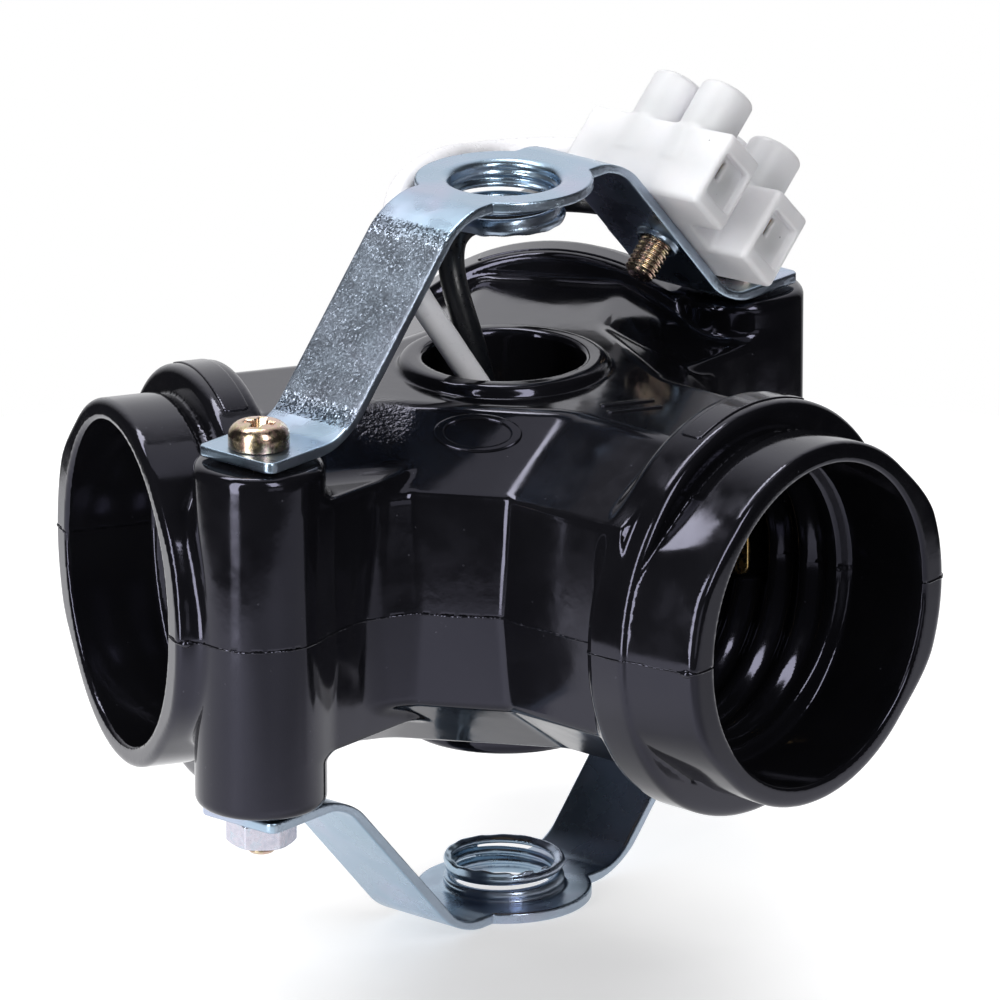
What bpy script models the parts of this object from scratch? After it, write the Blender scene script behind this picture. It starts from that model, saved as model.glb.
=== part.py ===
"""A three-way E27 lampholder cluster: a two-part moulded housing held between two bent steel brackets.

Lengths are in metres, +Z is up, and the origin is on the thread axis, at the upper bracket's top face.
Every shape is laid out from the parting plane of the housing, where z is 0 for the parts' empty.
Each socket has its own axes: +Y points out of its mouth and +X lies in the parting plane.
"""

import math

import bmesh
import bpy
from mathutils import Matrix, Vector

MM = 0.001
NAME = "triple_lampholder_cluster"

# Between two parts that touch.
GAP = 0.3 * MM
PARTING_GAP = 0.15 * MM

# The three sockets: the turn about Z that brings +Y to the socket's axis.
SOCKET_TURNS = {"front": 180, "left": 60, "rear": -60}
MOUTH_REACH = 36.85 * MM
ENTRY_RADIUS = 14.7 * MM
ENTRY_REACH = 28.6 * MM
ENTRY_TAPER = 0.8 * MM
BORE_RADIUS = 13.3 * MM
FLOOR_REACH = 12.2 * MM
BARREL_RADIUS = 16.65 * MM
BARREL_REACH = 24.0 * MM
RING_RADIUS = 19.0 * MM
RING_REACH = (25.4 * MM, 30.2 * MM)
CHEEK_RADIUS = 17.55 * MM
CHEEK_RING_RADIUS = 18.9 * MM
CHEEK_HALF_HEIGHT = 8.3 * MM
CHEEK_START = RING_REACH[0] + 1.0 * MM
CHEEK_END_INSET = 0.1 * MM

# The arms and the hub, which share one roof in each half. The crease is where the wall turns into the roof slope.
WALL_HALF_WIDTH = 17.0 * MM
CREASE_HALF_WIDTH = 16.45 * MM
ROOF_HALF_WIDTH = 6.5 * MM
WALL_PANEL_REACH = 21.8 * MM
CREASE_PANEL_REACH = 21.5 * MM
ROOF_PANEL_REACH = 12.2 * MM
ROOF_HEIGHT = {1: 16.45 * MM, -1: 15.4 * MM}
ARM_START = 3.0 * MM
ARM_END = RING_REACH[0] + 0.3 * MM
HUB_INSET = 0.04 * MM
PAST_PARTING = 1.0 * MM
CREASE_HEIGHT = {"upper": 11.0 * MM, "lower": 8.6 * MM}

# The boss round the lead hole, on the top and the bottom.
BOSS_RADIUS = 9.55 * MM
BOSS_HEIGHT = 17.5 * MM
BOSS_HOLE_RADIUS = 7.25 * MM

# The hub cavity and the well below it, which hold the contacts.
CAVITY_REACH = 9.8 * MM
CAVITY_PANEL_REACH = 19.3 * MM
CAVITY_TOP = 9.0 * MM
CAVITY_FLOOR = -7.0 * MM
WELL_RADIUS = 9.4 * MM
WELL_FLOOR = -12.5 * MM
WINDOW_HALF_WIDTH = 3.3 * MM
WINDOW_HEIGHTS = (-9.2 * MM, 4.2 * MM)
SLOT_HALF_HEIGHT = 3.0 * MM
SLOT_SPAN = (-12.95 * MM, -10.3 * MM)

# The two columns that the brackets clamp, and the webs that join them to the hub.
COLUMN_X = 33.3 * MM
COLUMN_RADIUS = 5.9 * MM
COLUMN_HEIGHT = 16.0 * MM
WEB_START_X = 14.0 * MM
WEB_HALF_WIDTH = 5.2 * MM
WEB_HEIGHT = {"upper": 12.4 * MM, "lower": 11.3 * MM}
SCREW_HOLE_RADIUS = 1.8 * MM

# The bent brackets, each with a drawn collar threaded M10x1.
STEEL = 1.0 * MM
BRACKET_HALF_WIDTH = 4.4 * MM
TAB_END = 36.7 * MM
TAB_FACE = 17.3 * MM
PLATE_FACE = 34.2 * MM
LOWER_BEND_X = 27.0 * MM
UPPER_BEND_X = 11.3 * MM
BEND_RADIUS = 2.0 * MM
PLATE_RADIUS = 8.0 * MM
COLLAR_RADIUS = 5.55 * MM
COLLAR_RIM = 30.2 * MM
THREAD_RADIUS = 4.5 * MM
FLARE_RADIUS = 5.4 * MM

# M3 fasteners.
M3_RADIUS = 1.5 * MM
M3_HEAD_RADIUS = 2.75 * MM
M3_HEAD_HEIGHT = 2.0 * MM
M3_NUT_CORNER = 3.175 * MM
M3_NUT_HEIGHT = 2.4 * MM
CLAMP_SCREW_TIP = -20.7 * MM

# The two-pole terminal block on the slope of the upper bracket. In its own axes +X runs down the slope,
# +Y away from the open wire entries and +Z out of the slope's face, from the fixing screw's axis.
SLOPE_ANGLE = math.atan2(PLATE_FACE - TAB_FACE, LOWER_BEND_X - UPPER_BEND_X)
BLOCK_ALONG_SLOPE = 13.0 * MM
BLOCK_OFFSET_Y = -1.87 * MM
BLOCK_TWIST = math.radians(-3.65)
POLE_X = 4.57 * MM
POLE_HALF_WIDTH = 2.6 * MM
BLOCK_ENDS = (-8.45 * MM, 8.8 * MM)
BLOCK_HEIGHT = 7.6 * MM
BRIDGE_HEIGHT = 4.6 * MM
BRIDGE_HALF_LENGTH = 4.3 * MM
TOWER_Y = 2.9 * MM
TOWER_RADIUS = 2.6 * MM
TOWER_TOP = 12.8 * MM
TOWER_BORE_RADIUS = 1.95 * MM
TUBE_HEIGHT = 3.9 * MM
TUBE_RADIUS = 1.7 * MM
TUBE_BORE_RADIUS = 1.2 * MM
TUBE_ENDS = (-7.0 * MM, 7.3 * MM)
TUBE_HOLE_RADIUS = 2.0 * MM
TAPPED_RADIUS = 1.45 * MM
ENTRY_DEPTH = 1.3 * MM
POLE_SCREW_RADIUS = 1.1 * MM
POLE_SCREW_HEAD_RADIUS = 1.6 * MM
POLE_SCREW_TIP = 4.0 * MM
POLE_SCREW_SHOULDER = 9.0 * MM
POLE_SCREW_TOP = 10.4 * MM
BLOCK_SCREW_TIP = -5.0 * MM
BLOCK_SCREW_HEAD_RADIUS = 2.0 * MM

# The contact parts inside the hub.
SHEET = 0.6 * MM
STRIP = 0.4 * MM
CARRIER_RADIUS = 9.1 * MM
CARRIER_HEIGHTS = (-12.2 * MM, -10.2 * MM)
LINE_PLATE_RADIUS = 8.6 * MM
LINE_PLATE_HEIGHTS = (-9.9 * MM, -9.3 * MM)
NEUTRAL_PLATE_HEIGHTS = (8.1 * MM, 8.7 * MM)
NEUTRAL_PLATE_REACH = 9.4 * MM
NEUTRAL_CORNER_REACH = 17.0 * MM
NEUTRAL_HOLE_RADIUS = 7.6 * MM
LEG_X = -12.35 * MM
LEG_SPAN = (5.4 * MM, 9.0 * MM)
LEG_FOOT = -2.5 * MM
RIVET_Y = 7.2 * MM
RIVET_RADIUS = 0.7 * MM
RIVET_HEAD_RADIUS = 1.35 * MM
RIVET_HEAD_HEIGHT = 0.5 * MM
RIVET_HOLE_RADIUS = RIVET_RADIUS + GAP
CENTRE_HALF_WIDTH = 2.5 * MM
CENTRE_FOOT = -8.8 * MM
SIDE_HALF_HEIGHT = 2.3 * MM
SIDE_X = -11.65 * MM
LUG_RADIUS = 1.5 * MM
LUG_BORE_RADIUS = 0.8 * MM
LEAD_RADIUS = 1.2 * MM
LEAD_SPACING = 4.8 * MM

# Sides of a round solid: the housing's and the collars', the columns', and the small parts'.
ROUND = 36
COLUMN_ROUND = 20
SMALL_ROUND = 16
LOOKS = {
    "black_phenolic": ((0.012, 0.012, 0.014), 0.22, 0.0),
    "zinc_plated_steel": ((0.62, 0.68, 0.74), 0.28, 1.0),
    "yellow_zinc_screw": ((0.72, 0.55, 0.28), 0.3, 1.0),
    "bright_zinc": ((0.7, 0.7, 0.74), 0.22, 1.0),
    "white_polyamide": ((0.86, 0.86, 0.88), 0.4, 0.0),
    "brass": ((0.74, 0.55, 0.22), 0.3, 1.0),
    "fibre_board": ((0.36, 0.2, 0.09), 0.6, 0.0),
    "black_insulation": ((0.015, 0.015, 0.016), 0.35, 0.0),
    "white_insulation": ((0.82, 0.82, 0.84), 0.35, 0.0),
}


def clear_scene():
    for thing in list(bpy.data.objects):
        bpy.data.objects.remove(thing, do_unlink=True)


def new_collection(name):
    collection = bpy.data.collections.new(name)
    bpy.context.scene.collection.children.link(collection)
    return collection


def new_material(name):
    colour, roughness, metallic = LOOKS[name]
    material = bpy.data.materials.new(name)
    material.use_nodes = True
    shader = material.node_tree.nodes["Principled BSDF"]
    shader.inputs["Base Color"].default_value = (*colour, 1.0)
    shader.inputs["Roughness"].default_value = roughness
    shader.inputs["Metallic"].default_value = metallic
    return material


clear_scene()
PARTS = new_collection(NAME)
CUTTERS = new_collection("cutters")
MATERIALS = {name: new_material(name) for name in LOOKS}
ASSEMBLY = bpy.data.objects.new("parting_plane", None)
ASSEMBLY.location.z = -PLATE_FACE
PARTS.objects.link(ASSEMBLY)


# Axes -----------------------------------------------------------------------------------------------


def turned_about_z(degrees):
    return Matrix.Rotation(math.radians(degrees), 4, "Z")


def along_y(matrix=None):
    """Axes whose +Z is the +Y of the given ones, for a shape that is turned about a socket's axis."""
    return (matrix or Matrix()) @ Matrix.Rotation(math.radians(-90), 4, "X")


def along_x(matrix=None):
    return (matrix or Matrix()) @ Matrix.Rotation(math.radians(90), 4, "Y")


def block_axes():
    start = Vector((UPPER_BEND_X, BLOCK_OFFSET_Y, PLATE_FACE))
    down_slope = Vector((math.cos(SLOPE_ANGLE), 0, -math.sin(SLOPE_ANGLE)))
    place = Matrix.Translation(start + down_slope * BLOCK_ALONG_SLOPE)
    tilt = Matrix.Rotation(SLOPE_ANGLE, 4, "Y")
    return place @ tilt @ Matrix.Rotation(BLOCK_TWIST, 4, "Z")


# Meshes ---------------------------------------------------------------------------------------------


def finished(bm, matrix):
    bmesh.ops.transform(bm, matrix=matrix or Matrix(), verts=bm.verts)
    bmesh.ops.recalc_face_normals(bm, faces=bm.faces)
    mesh = bpy.data.meshes.new("shape")
    bm.to_mesh(mesh)
    bm.free()
    return mesh


def cylinder(radius, low, high, matrix=None, segments=SMALL_ROUND, top_radius=None):
    """A round bar or cone about +Z."""
    bm = bmesh.new()
    bmesh.ops.create_cone(
        bm,
        cap_ends=True,
        segments=segments,
        radius1=radius,
        radius2=radius if top_radius is None else top_radius,
        depth=high - low,
    )
    bmesh.ops.translate(bm, vec=(0, 0, (low + high) / 2), verts=bm.verts)
    return finished(bm, matrix)


def box(x_span, y_span, z_span, matrix=None):
    bm = bmesh.new()
    bmesh.ops.create_cube(bm, size=1)
    spans = (x_span, y_span, z_span)
    bmesh.ops.scale(bm, vec=[high - low for low, high in spans], verts=bm.verts)
    bmesh.ops.translate(bm, vec=[(low + high) / 2 for low, high in spans], verts=bm.verts)
    return finished(bm, matrix)


def hull(points, matrix=None):
    """The convex solid round a set of corners."""
    bm = bmesh.new()
    for point in points:
        bm.verts.new(point)
    made = bmesh.ops.convex_hull(bm, input=bm.verts)
    inner = {item for item in made["geom_interior"] if isinstance(item, bmesh.types.BMVert)}
    bmesh.ops.delete(bm, geom=list(inner), context="VERTS")
    return finished(bm, matrix)


def evaluated_mesh(holder, matrix=None):
    """The mesh that a holder's curve or modifiers make. The holder is removed."""
    PARTS.objects.link(holder)
    bpy.context.view_layer.update()
    graph = bpy.context.evaluated_depsgraph_get()
    mesh = bpy.data.meshes.new_from_object(holder.evaluated_get(graph))
    bpy.data.objects.remove(holder, do_unlink=True)
    bm = bmesh.new()
    bm.from_mesh(mesh)
    bmesh.ops.remove_doubles(bm, verts=bm.verts, dist=0.001 * MM)
    return finished(bm, matrix)


def turned(profile, matrix=None, segments=SMALL_ROUND):
    """A profile of (radius, height) points, top to bottom, turned about +Z."""
    bm = bmesh.new()
    verts = [bm.verts.new((radius, 0, height)) for radius, height in profile]
    for pair in zip(verts, verts[1:]):
        bm.edges.new(pair)
    mesh = bpy.data.meshes.new("profile")
    bm.to_mesh(mesh)
    bm.free()
    holder = bpy.data.objects.new("profile", mesh)
    screw = holder.modifiers.new("turn", "SCREW")
    screw.steps = segments
    screw.render_steps = segments
    screw.use_merge_vertices = True
    screw.merge_threshold = 0.01 * MM
    return evaluated_mesh(holder, matrix)


def extruded(outline, depth, matrix=None):
    """A flat outline in XY, thickened equally to both sides of it."""
    curve = bpy.data.curves.new("outline", "CURVE")
    curve.dimensions = "2D"
    curve.fill_mode = "BOTH"
    curve.extrude = depth / 2
    spline = curve.splines.new("POLY")
    spline.points.add(len(outline) - 1)
    for point, (x, y) in zip(spline.points, outline):
        point.co = (x, y, 0, 1)
    spline.use_cyclic_u = True
    return evaluated_mesh(bpy.data.objects.new("outline", curve), matrix)


def rounded_path(corners, radius, steps=3):
    """The corners of a path with an arc in place of each inner corner."""
    path = [Vector(corners[0])]
    for before, corner, after in zip(corners, corners[1:], corners[2:]):
        corner = Vector(corner)
        back = (Vector(before) - corner).normalized()
        onward = (Vector(after) - corner).normalized()
        half_angle = back.angle(onward) / 2
        centre = corner + (back + onward).normalized() * radius / math.sin(half_angle)
        first = corner + back * radius / math.tan(half_angle) - centre
        last = corner + onward * radius / math.tan(half_angle) - centre
        for step in range(steps + 1):
            path.append(centre + first.slerp(last, step / steps).normalized() * radius)
    path.append(Vector(corners[-1]))
    return path


def strip_outline(path, thickness):
    """The outline of a bent strip, seen on edge, whose middle follows the path."""
    sides = ([], [])
    for index, point in enumerate(path):
        ahead = path[min(index + 1, len(path) - 1)] - point
        behind = point - path[max(index - 1, 0)]
        heading = (ahead.normalized() + behind.normalized()).normalized()
        bend = max(heading.dot(ahead.normalized()), heading.dot(behind.normalized()))
        across = Vector((-heading.y, heading.x)) * thickness / 2 / bend
        sides[0].append(point + across)
        sides[1].append(point - across)
    return sides[0] + sides[1][::-1]


def bent_strip(corners, bend_radius, thickness, width, matrix=None):
    outline = strip_outline(rounded_path(corners, bend_radius), thickness)
    return extruded(outline, width, matrix)


# Objects --------------------------------------------------------------------------------------------


def new_part(name, material, first, *operations, origin=(0, 0, 0)):
    """An object of one material, made from its first mesh and (operation, mesh) pairs."""
    origin = Vector(origin)
    first.transform(Matrix.Translation(-origin))
    part = bpy.data.objects.new(name, first)
    part.location = origin
    part.parent = ASSEMBLY
    PARTS.objects.link(part)
    for number, (operation, mesh) in enumerate(operations, 1):
        tool = bpy.data.objects.new(f"{name}_{operation.lower()}_{number}", mesh)
        tool.parent = ASSEMBLY
        tool.hide_render = True
        tool.display_type = "WIRE"
        CUTTERS.objects.link(tool)
        boolean = part.modifiers.new(f"{operation.lower()}_{number}", "BOOLEAN")
        boolean.operation = operation
        boolean.solver = "EXACT"
        boolean.object = tool
    first.materials.clear()
    first.materials.append(MATERIALS[material])
    first.shade_smooth()
    first.set_sharp_from_angle(angle=math.radians(35))
    return part


def add(mesh):
    return ("UNION", mesh)


def cut(mesh):
    return ("DIFFERENCE", mesh)


# The housing ----------------------------------------------------------------------------------------


def hexagon(half_width, panel_reach, height):
    """Corners at one height: the arms' sides meet the panels that face out between the sockets."""
    reach = 2 * panel_reach - math.sqrt(3) * half_width
    corners = []
    for turn in SOCKET_TURNS.values():
        for x in (-half_width, half_width):
            corners.append(turned_about_z(turn) @ Vector((x, reach, height)))
    return corners


def arm(side, crease, socket):
    section = [
        (WALL_HALF_WIDTH, -side * PAST_PARTING),
        (CREASE_HALF_WIDTH, side * crease),
        (ROOF_HALF_WIDTH, side * ROOF_HEIGHT[side]),
    ]
    corners = [
        (sign * x, y, z)
        for x, z in section
        for sign in (-1, 1)
        for y in (ARM_START, ARM_END)
    ]
    return hull(corners, socket)


def hub(side, crease):
    roof = side * (ROOF_HEIGHT[side] - HUB_INSET)
    return hull(
        hexagon(WALL_HALF_WIDTH - HUB_INSET, WALL_PANEL_REACH, -side * (PAST_PARTING + HUB_INSET))
        + hexagon(CREASE_HALF_WIDTH - HUB_INSET, CREASE_PANEL_REACH, side * crease)
        + hexagon(ROOF_HALF_WIDTH - HUB_INSET, ROOF_PANEL_REACH, roof)
    )


def barrel(socket):
    """The round outside of a socket, with its shoulder ring."""
    rim = 0.5 * MM
    ring_start, ring_end = RING_REACH
    profile = [
        (0, MOUTH_REACH),
        (BARREL_RADIUS - rim, MOUTH_REACH),
        (BARREL_RADIUS, MOUTH_REACH - rim),
        (BARREL_RADIUS, ring_end + rim),
        (RING_RADIUS - rim, ring_end),
        (RING_RADIUS, ring_end - rim),
        (RING_RADIUS, ring_start + 2 * rim),
        (RING_RADIUS - 2 * rim, ring_start),
        (BARREL_RADIUS - 2 * rim, BARREL_REACH),
        (0, BARREL_REACH),
    ]
    return turned(profile, along_y(socket), ROUND)


def cheeks(socket):
    """The sides that run full from the shoulder ring to the mouth along the parting plane.

    Above and below it, a flat falls from each one to the barrel and touches it.
    """
    at_ring = (CHEEK_RING_RADIUS, CHEEK_START)
    at_mouth = (CHEEK_RADIUS, MOUTH_REACH - CHEEK_END_INSET)
    corners = []
    for radius, reach in (at_ring, at_mouth):
        half_angle = math.asin(CHEEK_HALF_HEIGHT / radius)
        touching = half_angle + math.acos(BARREL_RADIUS / radius)
        section = [(radius, half_angle * step / 4) for step in range(-4, 5)]
        section += [(BARREL_RADIUS, -touching), (BARREL_RADIUS, touching)]
        for distance, angle in section:
            for side in (-1, 1):
                corners.append((side * distance * math.cos(angle), reach, distance * math.sin(angle)))
    return hull(corners, socket)


def column(x):
    edge = 0.9 * MM
    profile = [
        (0, COLUMN_HEIGHT),
        (COLUMN_RADIUS - edge, COLUMN_HEIGHT),
        (COLUMN_RADIUS, COLUMN_HEIGHT - edge),
        (COLUMN_RADIUS, -COLUMN_HEIGHT + edge),
        (COLUMN_RADIUS - edge, -COLUMN_HEIGHT),
        (0, -COLUMN_HEIGHT),
    ]
    return turned(profile, Matrix.Translation((x, 0, 0)), COLUMN_ROUND)


def web(x, height):
    inner = math.copysign(WEB_START_X, x)
    return box(sorted((inner, x)), (-WEB_HALF_WIDTH, WEB_HALF_WIDTH), sorted((0, height)))


def boss():
    edge = 1.2 * MM
    profile = [
        (0, BOSS_HEIGHT),
        (BOSS_RADIUS - edge, BOSS_HEIGHT),
        (BOSS_RADIUS - edge / 4, BOSS_HEIGHT - edge / 3),
        (BOSS_RADIUS, BOSS_HEIGHT - edge),
        (BOSS_RADIUS, -BOSS_HEIGHT + edge),
        (BOSS_RADIUS - edge / 4, -BOSS_HEIGHT + edge / 3),
        (BOSS_RADIUS - edge, -BOSS_HEIGHT),
        (0, -BOSS_HEIGHT),
    ]
    return turned(profile, segments=ROUND)


def bore(socket):
    overrun = 2 * MM
    profile = [
        (0, MOUTH_REACH + overrun),
        (ENTRY_RADIUS, MOUTH_REACH + overrun),
        (ENTRY_RADIUS, ENTRY_REACH),
        (BORE_RADIUS, ENTRY_REACH - ENTRY_TAPER),
        (BORE_RADIUS, FLOOR_REACH),
        (0, FLOOR_REACH),
    ]
    return turned(profile, along_y(socket), ROUND)


def cavity():
    corners = []
    reach = 2 * CAVITY_PANEL_REACH - CAVITY_REACH
    half_width = reach / math.sqrt(3)
    for turn in SOCKET_TURNS.values():
        for x in (-half_width, half_width):
            for z in (CAVITY_FLOOR, CAVITY_TOP):
                corners.append(turned_about_z(turn) @ Vector((x, CAVITY_REACH, z)))
    return hull(corners)


def housing(name, half):
    side = 1 if half == "upper" else -1
    crease = CREASE_HEIGHT[half]
    sockets = [turned_about_z(turn) for turn in SOCKET_TURNS.values()]
    far = 60 * MM
    operations = []
    for socket in sockets:
        operations.append(add(arm(side, crease, socket)))
        operations.append(add(barrel(socket)))
        operations.append(add(cheeks(socket)))
    for x in (-COLUMN_X, COLUMN_X):
        operations.append(add(web(x, side * WEB_HEIGHT[half])))
        operations.append(add(column(x)))
    operations.append(add(boss()))
    operations.append(cut(cavity()))
    if half == "upper":
        operations.append(cut(cylinder(BOSS_HOLE_RADIUS, 0, BOSS_HEIGHT * 2, segments=ROUND)))
    else:
        operations.append(cut(cylinder(WELL_RADIUS, WELL_FLOOR, 0, segments=ROUND)))
        operations.append(cut(cylinder(BOSS_HOLE_RADIUS, -BOSS_HEIGHT * 2, 0, segments=ROUND)))
    for socket in sockets:
        operations.append(cut(bore(socket)))
        opening = (CAVITY_REACH - 2 * MM, FLOOR_REACH + 1 * MM)
        windows = (-WINDOW_HALF_WIDTH, WINDOW_HALF_WIDTH)
        operations.append(cut(box(windows, opening, WINDOW_HEIGHTS, socket)))
        slot_heights = (-SLOT_HALF_HEIGHT, SLOT_HALF_HEIGHT)
        operations.append(cut(box(SLOT_SPAN, opening, slot_heights, socket)))
    for x in (-COLUMN_X, COLUMN_X):
        place = Matrix.Translation((x, 0, 0))
        operations.append(cut(cylinder(SCREW_HOLE_RADIUS, -far, far, place)))
    beyond = sorted((side * PARTING_GAP, -side * far))
    operations.append(cut(box((-far, far), (-far, far), beyond)))
    new_part(name, "black_phenolic", hub(side, crease), *operations)


# The brackets and their fasteners -------------------------------------------------------------------


def bracket(name, side, with_block_hole):
    """A strap bent over the housing, with side 1, or the same strap turned over below it, with side -1."""
    turn = Matrix() if side > 0 else Matrix.Rotation(math.pi, 4, "X")
    half = STEEL / 2
    shift = half * math.tan(SLOPE_ANGLE / 2)
    corners = [
        (-TAB_END, TAB_FACE - half),
        (-LOWER_BEND_X + shift, TAB_FACE - half),
        (-UPPER_BEND_X + shift, PLATE_FACE - half),
        (UPPER_BEND_X - shift, PLATE_FACE - half),
        (LOWER_BEND_X - shift, TAB_FACE - half),
        (TAB_END, TAB_FACE - half),
    ]
    on_edge = turn @ Matrix.Rotation(math.radians(90), 4, "X")
    strap = bent_strip(corners, BEND_RADIUS, STEEL, 2 * BRACKET_HALF_WIDTH, on_edge)
    over = 2 * MM
    flare_depth = FLARE_RADIUS - THREAD_RADIUS
    operations = [
        add(cylinder(PLATE_RADIUS, PLATE_FACE - STEEL, PLATE_FACE, turn, ROUND)),
        add(cylinder(COLLAR_RADIUS, COLLAR_RIM, PLATE_FACE - half, turn, ROUND)),
        cut(cylinder(THREAD_RADIUS, COLLAR_RIM - over, PLATE_FACE + over, turn, ROUND)),
        cut(
            cylinder(
                THREAD_RADIUS - over,
                PLATE_FACE - flare_depth - over,
                PLATE_FACE + over,
                turn,
                ROUND,
                FLARE_RADIUS + over,
            )
        ),
    ]
    for x in (-COLUMN_X, COLUMN_X):
        place = turn @ Matrix.Translation((x, 0, 0))
        below, above = TAB_FACE - STEEL - over, TAB_FACE + over
        operations.append(cut(cylinder(SCREW_HOLE_RADIUS, below, above, place)))
    if with_block_hole:
        operations.append(cut(cylinder(SCREW_HOLE_RADIUS, -STEEL - over, over, block_axes())))
    new_part(name, "zinc_plated_steel", strap, *operations)


def pan_screw(name, matrix, seat, tip, head_radius, head_height, material="yellow_zinc_screw"):
    """A pan-head M3 screw along +Z of the given axes, its head standing on the seat's height."""
    profile = [
        (0, seat + head_height),
        (0.5 * head_radius, seat + 0.97 * head_height),
        (0.84 * head_radius, seat + 0.76 * head_height),
        (head_radius, seat + 0.36 * head_height),
        (head_radius, seat),
        (M3_RADIUS, seat),
        (M3_RADIUS, tip + 0.5 * MM),
        (M3_RADIUS - 0.35 * MM, tip),
        (0, tip),
    ]
    new_part(name, material, turned(profile, matrix))


def clamp_fasteners(name, x):
    place = Matrix.Translation((x, 0, 0))
    seat = TAB_FACE + GAP
    pan_screw(f"clamp_screw_{name}", place, seat, CLAMP_SCREW_TIP, M3_HEAD_RADIUS, M3_HEAD_HEIGHT)
    top = -TAB_FACE - GAP
    nut = cylinder(M3_NUT_CORNER, top - M3_NUT_HEIGHT, top, place, 6)
    hole = cylinder(SCREW_HOLE_RADIUS, top - 2 * M3_NUT_HEIGHT, top + 1 * MM, place)
    new_part(f"clamp_nut_{name}", "bright_zinc", nut, cut(hole))


# The terminal block ---------------------------------------------------------------------------------


def terminal_body(axes):
    first_end, last_end = BLOCK_ENDS
    operations = []
    bridge = box(
        (-POLE_X + POLE_HALF_WIDTH - GAP, POLE_X - POLE_HALF_WIDTH + GAP),
        (-BRIDGE_HALF_LENGTH, BRIDGE_HALF_LENGTH),
        (GAP, BRIDGE_HEIGHT),
        axes,
    )
    for x in (-POLE_X, POLE_X):
        pole = (x - POLE_HALF_WIDTH, x + POLE_HALF_WIDTH)
        operations.append(add(box(pole, BLOCK_ENDS, (GAP, BLOCK_HEIGHT), axes)))
        for y in (-TOWER_Y, TOWER_Y):
            place = axes @ Matrix.Translation((x, y, 0))
            tower = cylinder(TOWER_RADIUS - 0.02 * MM, TUBE_HEIGHT, TOWER_TOP, place)
            operations.append(add(tower))
    for x in (-POLE_X, POLE_X):
        place = axes @ Matrix.Translation((x, 0, TUBE_HEIGHT))
        hole_ends = (first_end + ENTRY_DEPTH / 2, last_end - ENTRY_DEPTH / 2)
        operations.append(cut(cylinder(TUBE_HOLE_RADIUS, *hole_ends, along_y(place))))
        mouth = (-TUBE_HOLE_RADIUS - 0.1 * MM, TUBE_HOLE_RADIUS + 0.1 * MM)
        near_entry = (first_end - 1 * MM, first_end + ENTRY_DEPTH)
        far_entry = (last_end - ENTRY_DEPTH, last_end + 1 * MM)
        for entry in (near_entry, far_entry):
            operations.append(cut(box(mouth, entry, mouth, place)))
        for y in (-TOWER_Y, TOWER_Y):
            place = axes @ Matrix.Translation((x, y, 0))
            shaft = cylinder(TOWER_BORE_RADIUS, TUBE_HEIGHT, TOWER_TOP + 1 * MM, place)
            operations.append(cut(shaft))
    operations.append(cut(cylinder(SCREW_HOLE_RADIUS, -1 * MM, BLOCK_HEIGHT, axes)))
    head_room = BLOCK_SCREW_HEAD_RADIUS + GAP
    operations.append(cut(cylinder(head_room, BRIDGE_HEIGHT, BLOCK_HEIGHT + 1 * MM, axes)))
    new_part("terminal_body", "white_polyamide", bridge, *operations)


def terminal_pole(axes, name, x):
    """The brass tube that joins both wire entries of one pole."""
    place = axes @ Matrix.Translation((x, 0, TUBE_HEIGHT))
    tube = cylinder(TUBE_RADIUS, *TUBE_ENDS, along_y(place))
    first_end, last_end = TUBE_ENDS
    inside = cylinder(TUBE_BORE_RADIUS, first_end - MM, last_end + MM, along_y(place))
    operations = [cut(inside)]
    for y in (-TOWER_Y, TOWER_Y):
        tapped = place @ Matrix.Translation((0, y, 0))
        operations.append(cut(cylinder(TAPPED_RADIUS, 0.2 * MM, 3 * MM, tapped)))
    new_part(f"terminal_tube_{name}", "brass", tube, *operations)


def pole_screw(axes, name, x, y):
    """A slotted clamping screw in a tower. Its origin is at its tip, on the tower's axis."""
    place = axes @ Matrix.Translation((x, y, 0))
    profile = [
        (0, POLE_SCREW_TOP),
        (POLE_SCREW_HEAD_RADIUS - 0.2 * MM, POLE_SCREW_TOP),
        (POLE_SCREW_HEAD_RADIUS, POLE_SCREW_TOP - 0.2 * MM),
        (POLE_SCREW_HEAD_RADIUS, POLE_SCREW_SHOULDER),
        (POLE_SCREW_RADIUS, POLE_SCREW_SHOULDER),
        (POLE_SCREW_RADIUS, POLE_SCREW_TIP),
        (0, POLE_SCREW_TIP),
    ]
    slot_half = 0.25 * MM
    slot = box(
        (-2 * MM, 2 * MM),
        (-slot_half, slot_half),
        (POLE_SCREW_TOP - 0.7 * MM, POLE_SCREW_TOP + 1 * MM),
        place @ turned_about_z(30),
    )
    origin = place @ Vector((0, 0, POLE_SCREW_TIP))
    new_part(f"pole_screw_{name}", "bright_zinc", turned(profile, place), cut(slot), origin=origin)


def terminal_block():
    axes = block_axes()
    terminal_body(axes)
    for pole, x in (("neutral", -POLE_X), ("line", POLE_X)):
        terminal_pole(axes, pole, x)
        for end, y in (("open", -TOWER_Y), ("lead", TOWER_Y)):
            pole_screw(axes, f"{pole}_{end}", x, y)
    seat = BRIDGE_HEIGHT + GAP
    pan_screw("block_screw", axes, seat, BLOCK_SCREW_TIP, BLOCK_SCREW_HEAD_RADIUS, 1.8 * MM)


# The contacts ---------------------------------------------------------------------------------------


def sheet_disc(radius, heights):
    return cylinder(radius, *heights, segments=ROUND)


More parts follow.
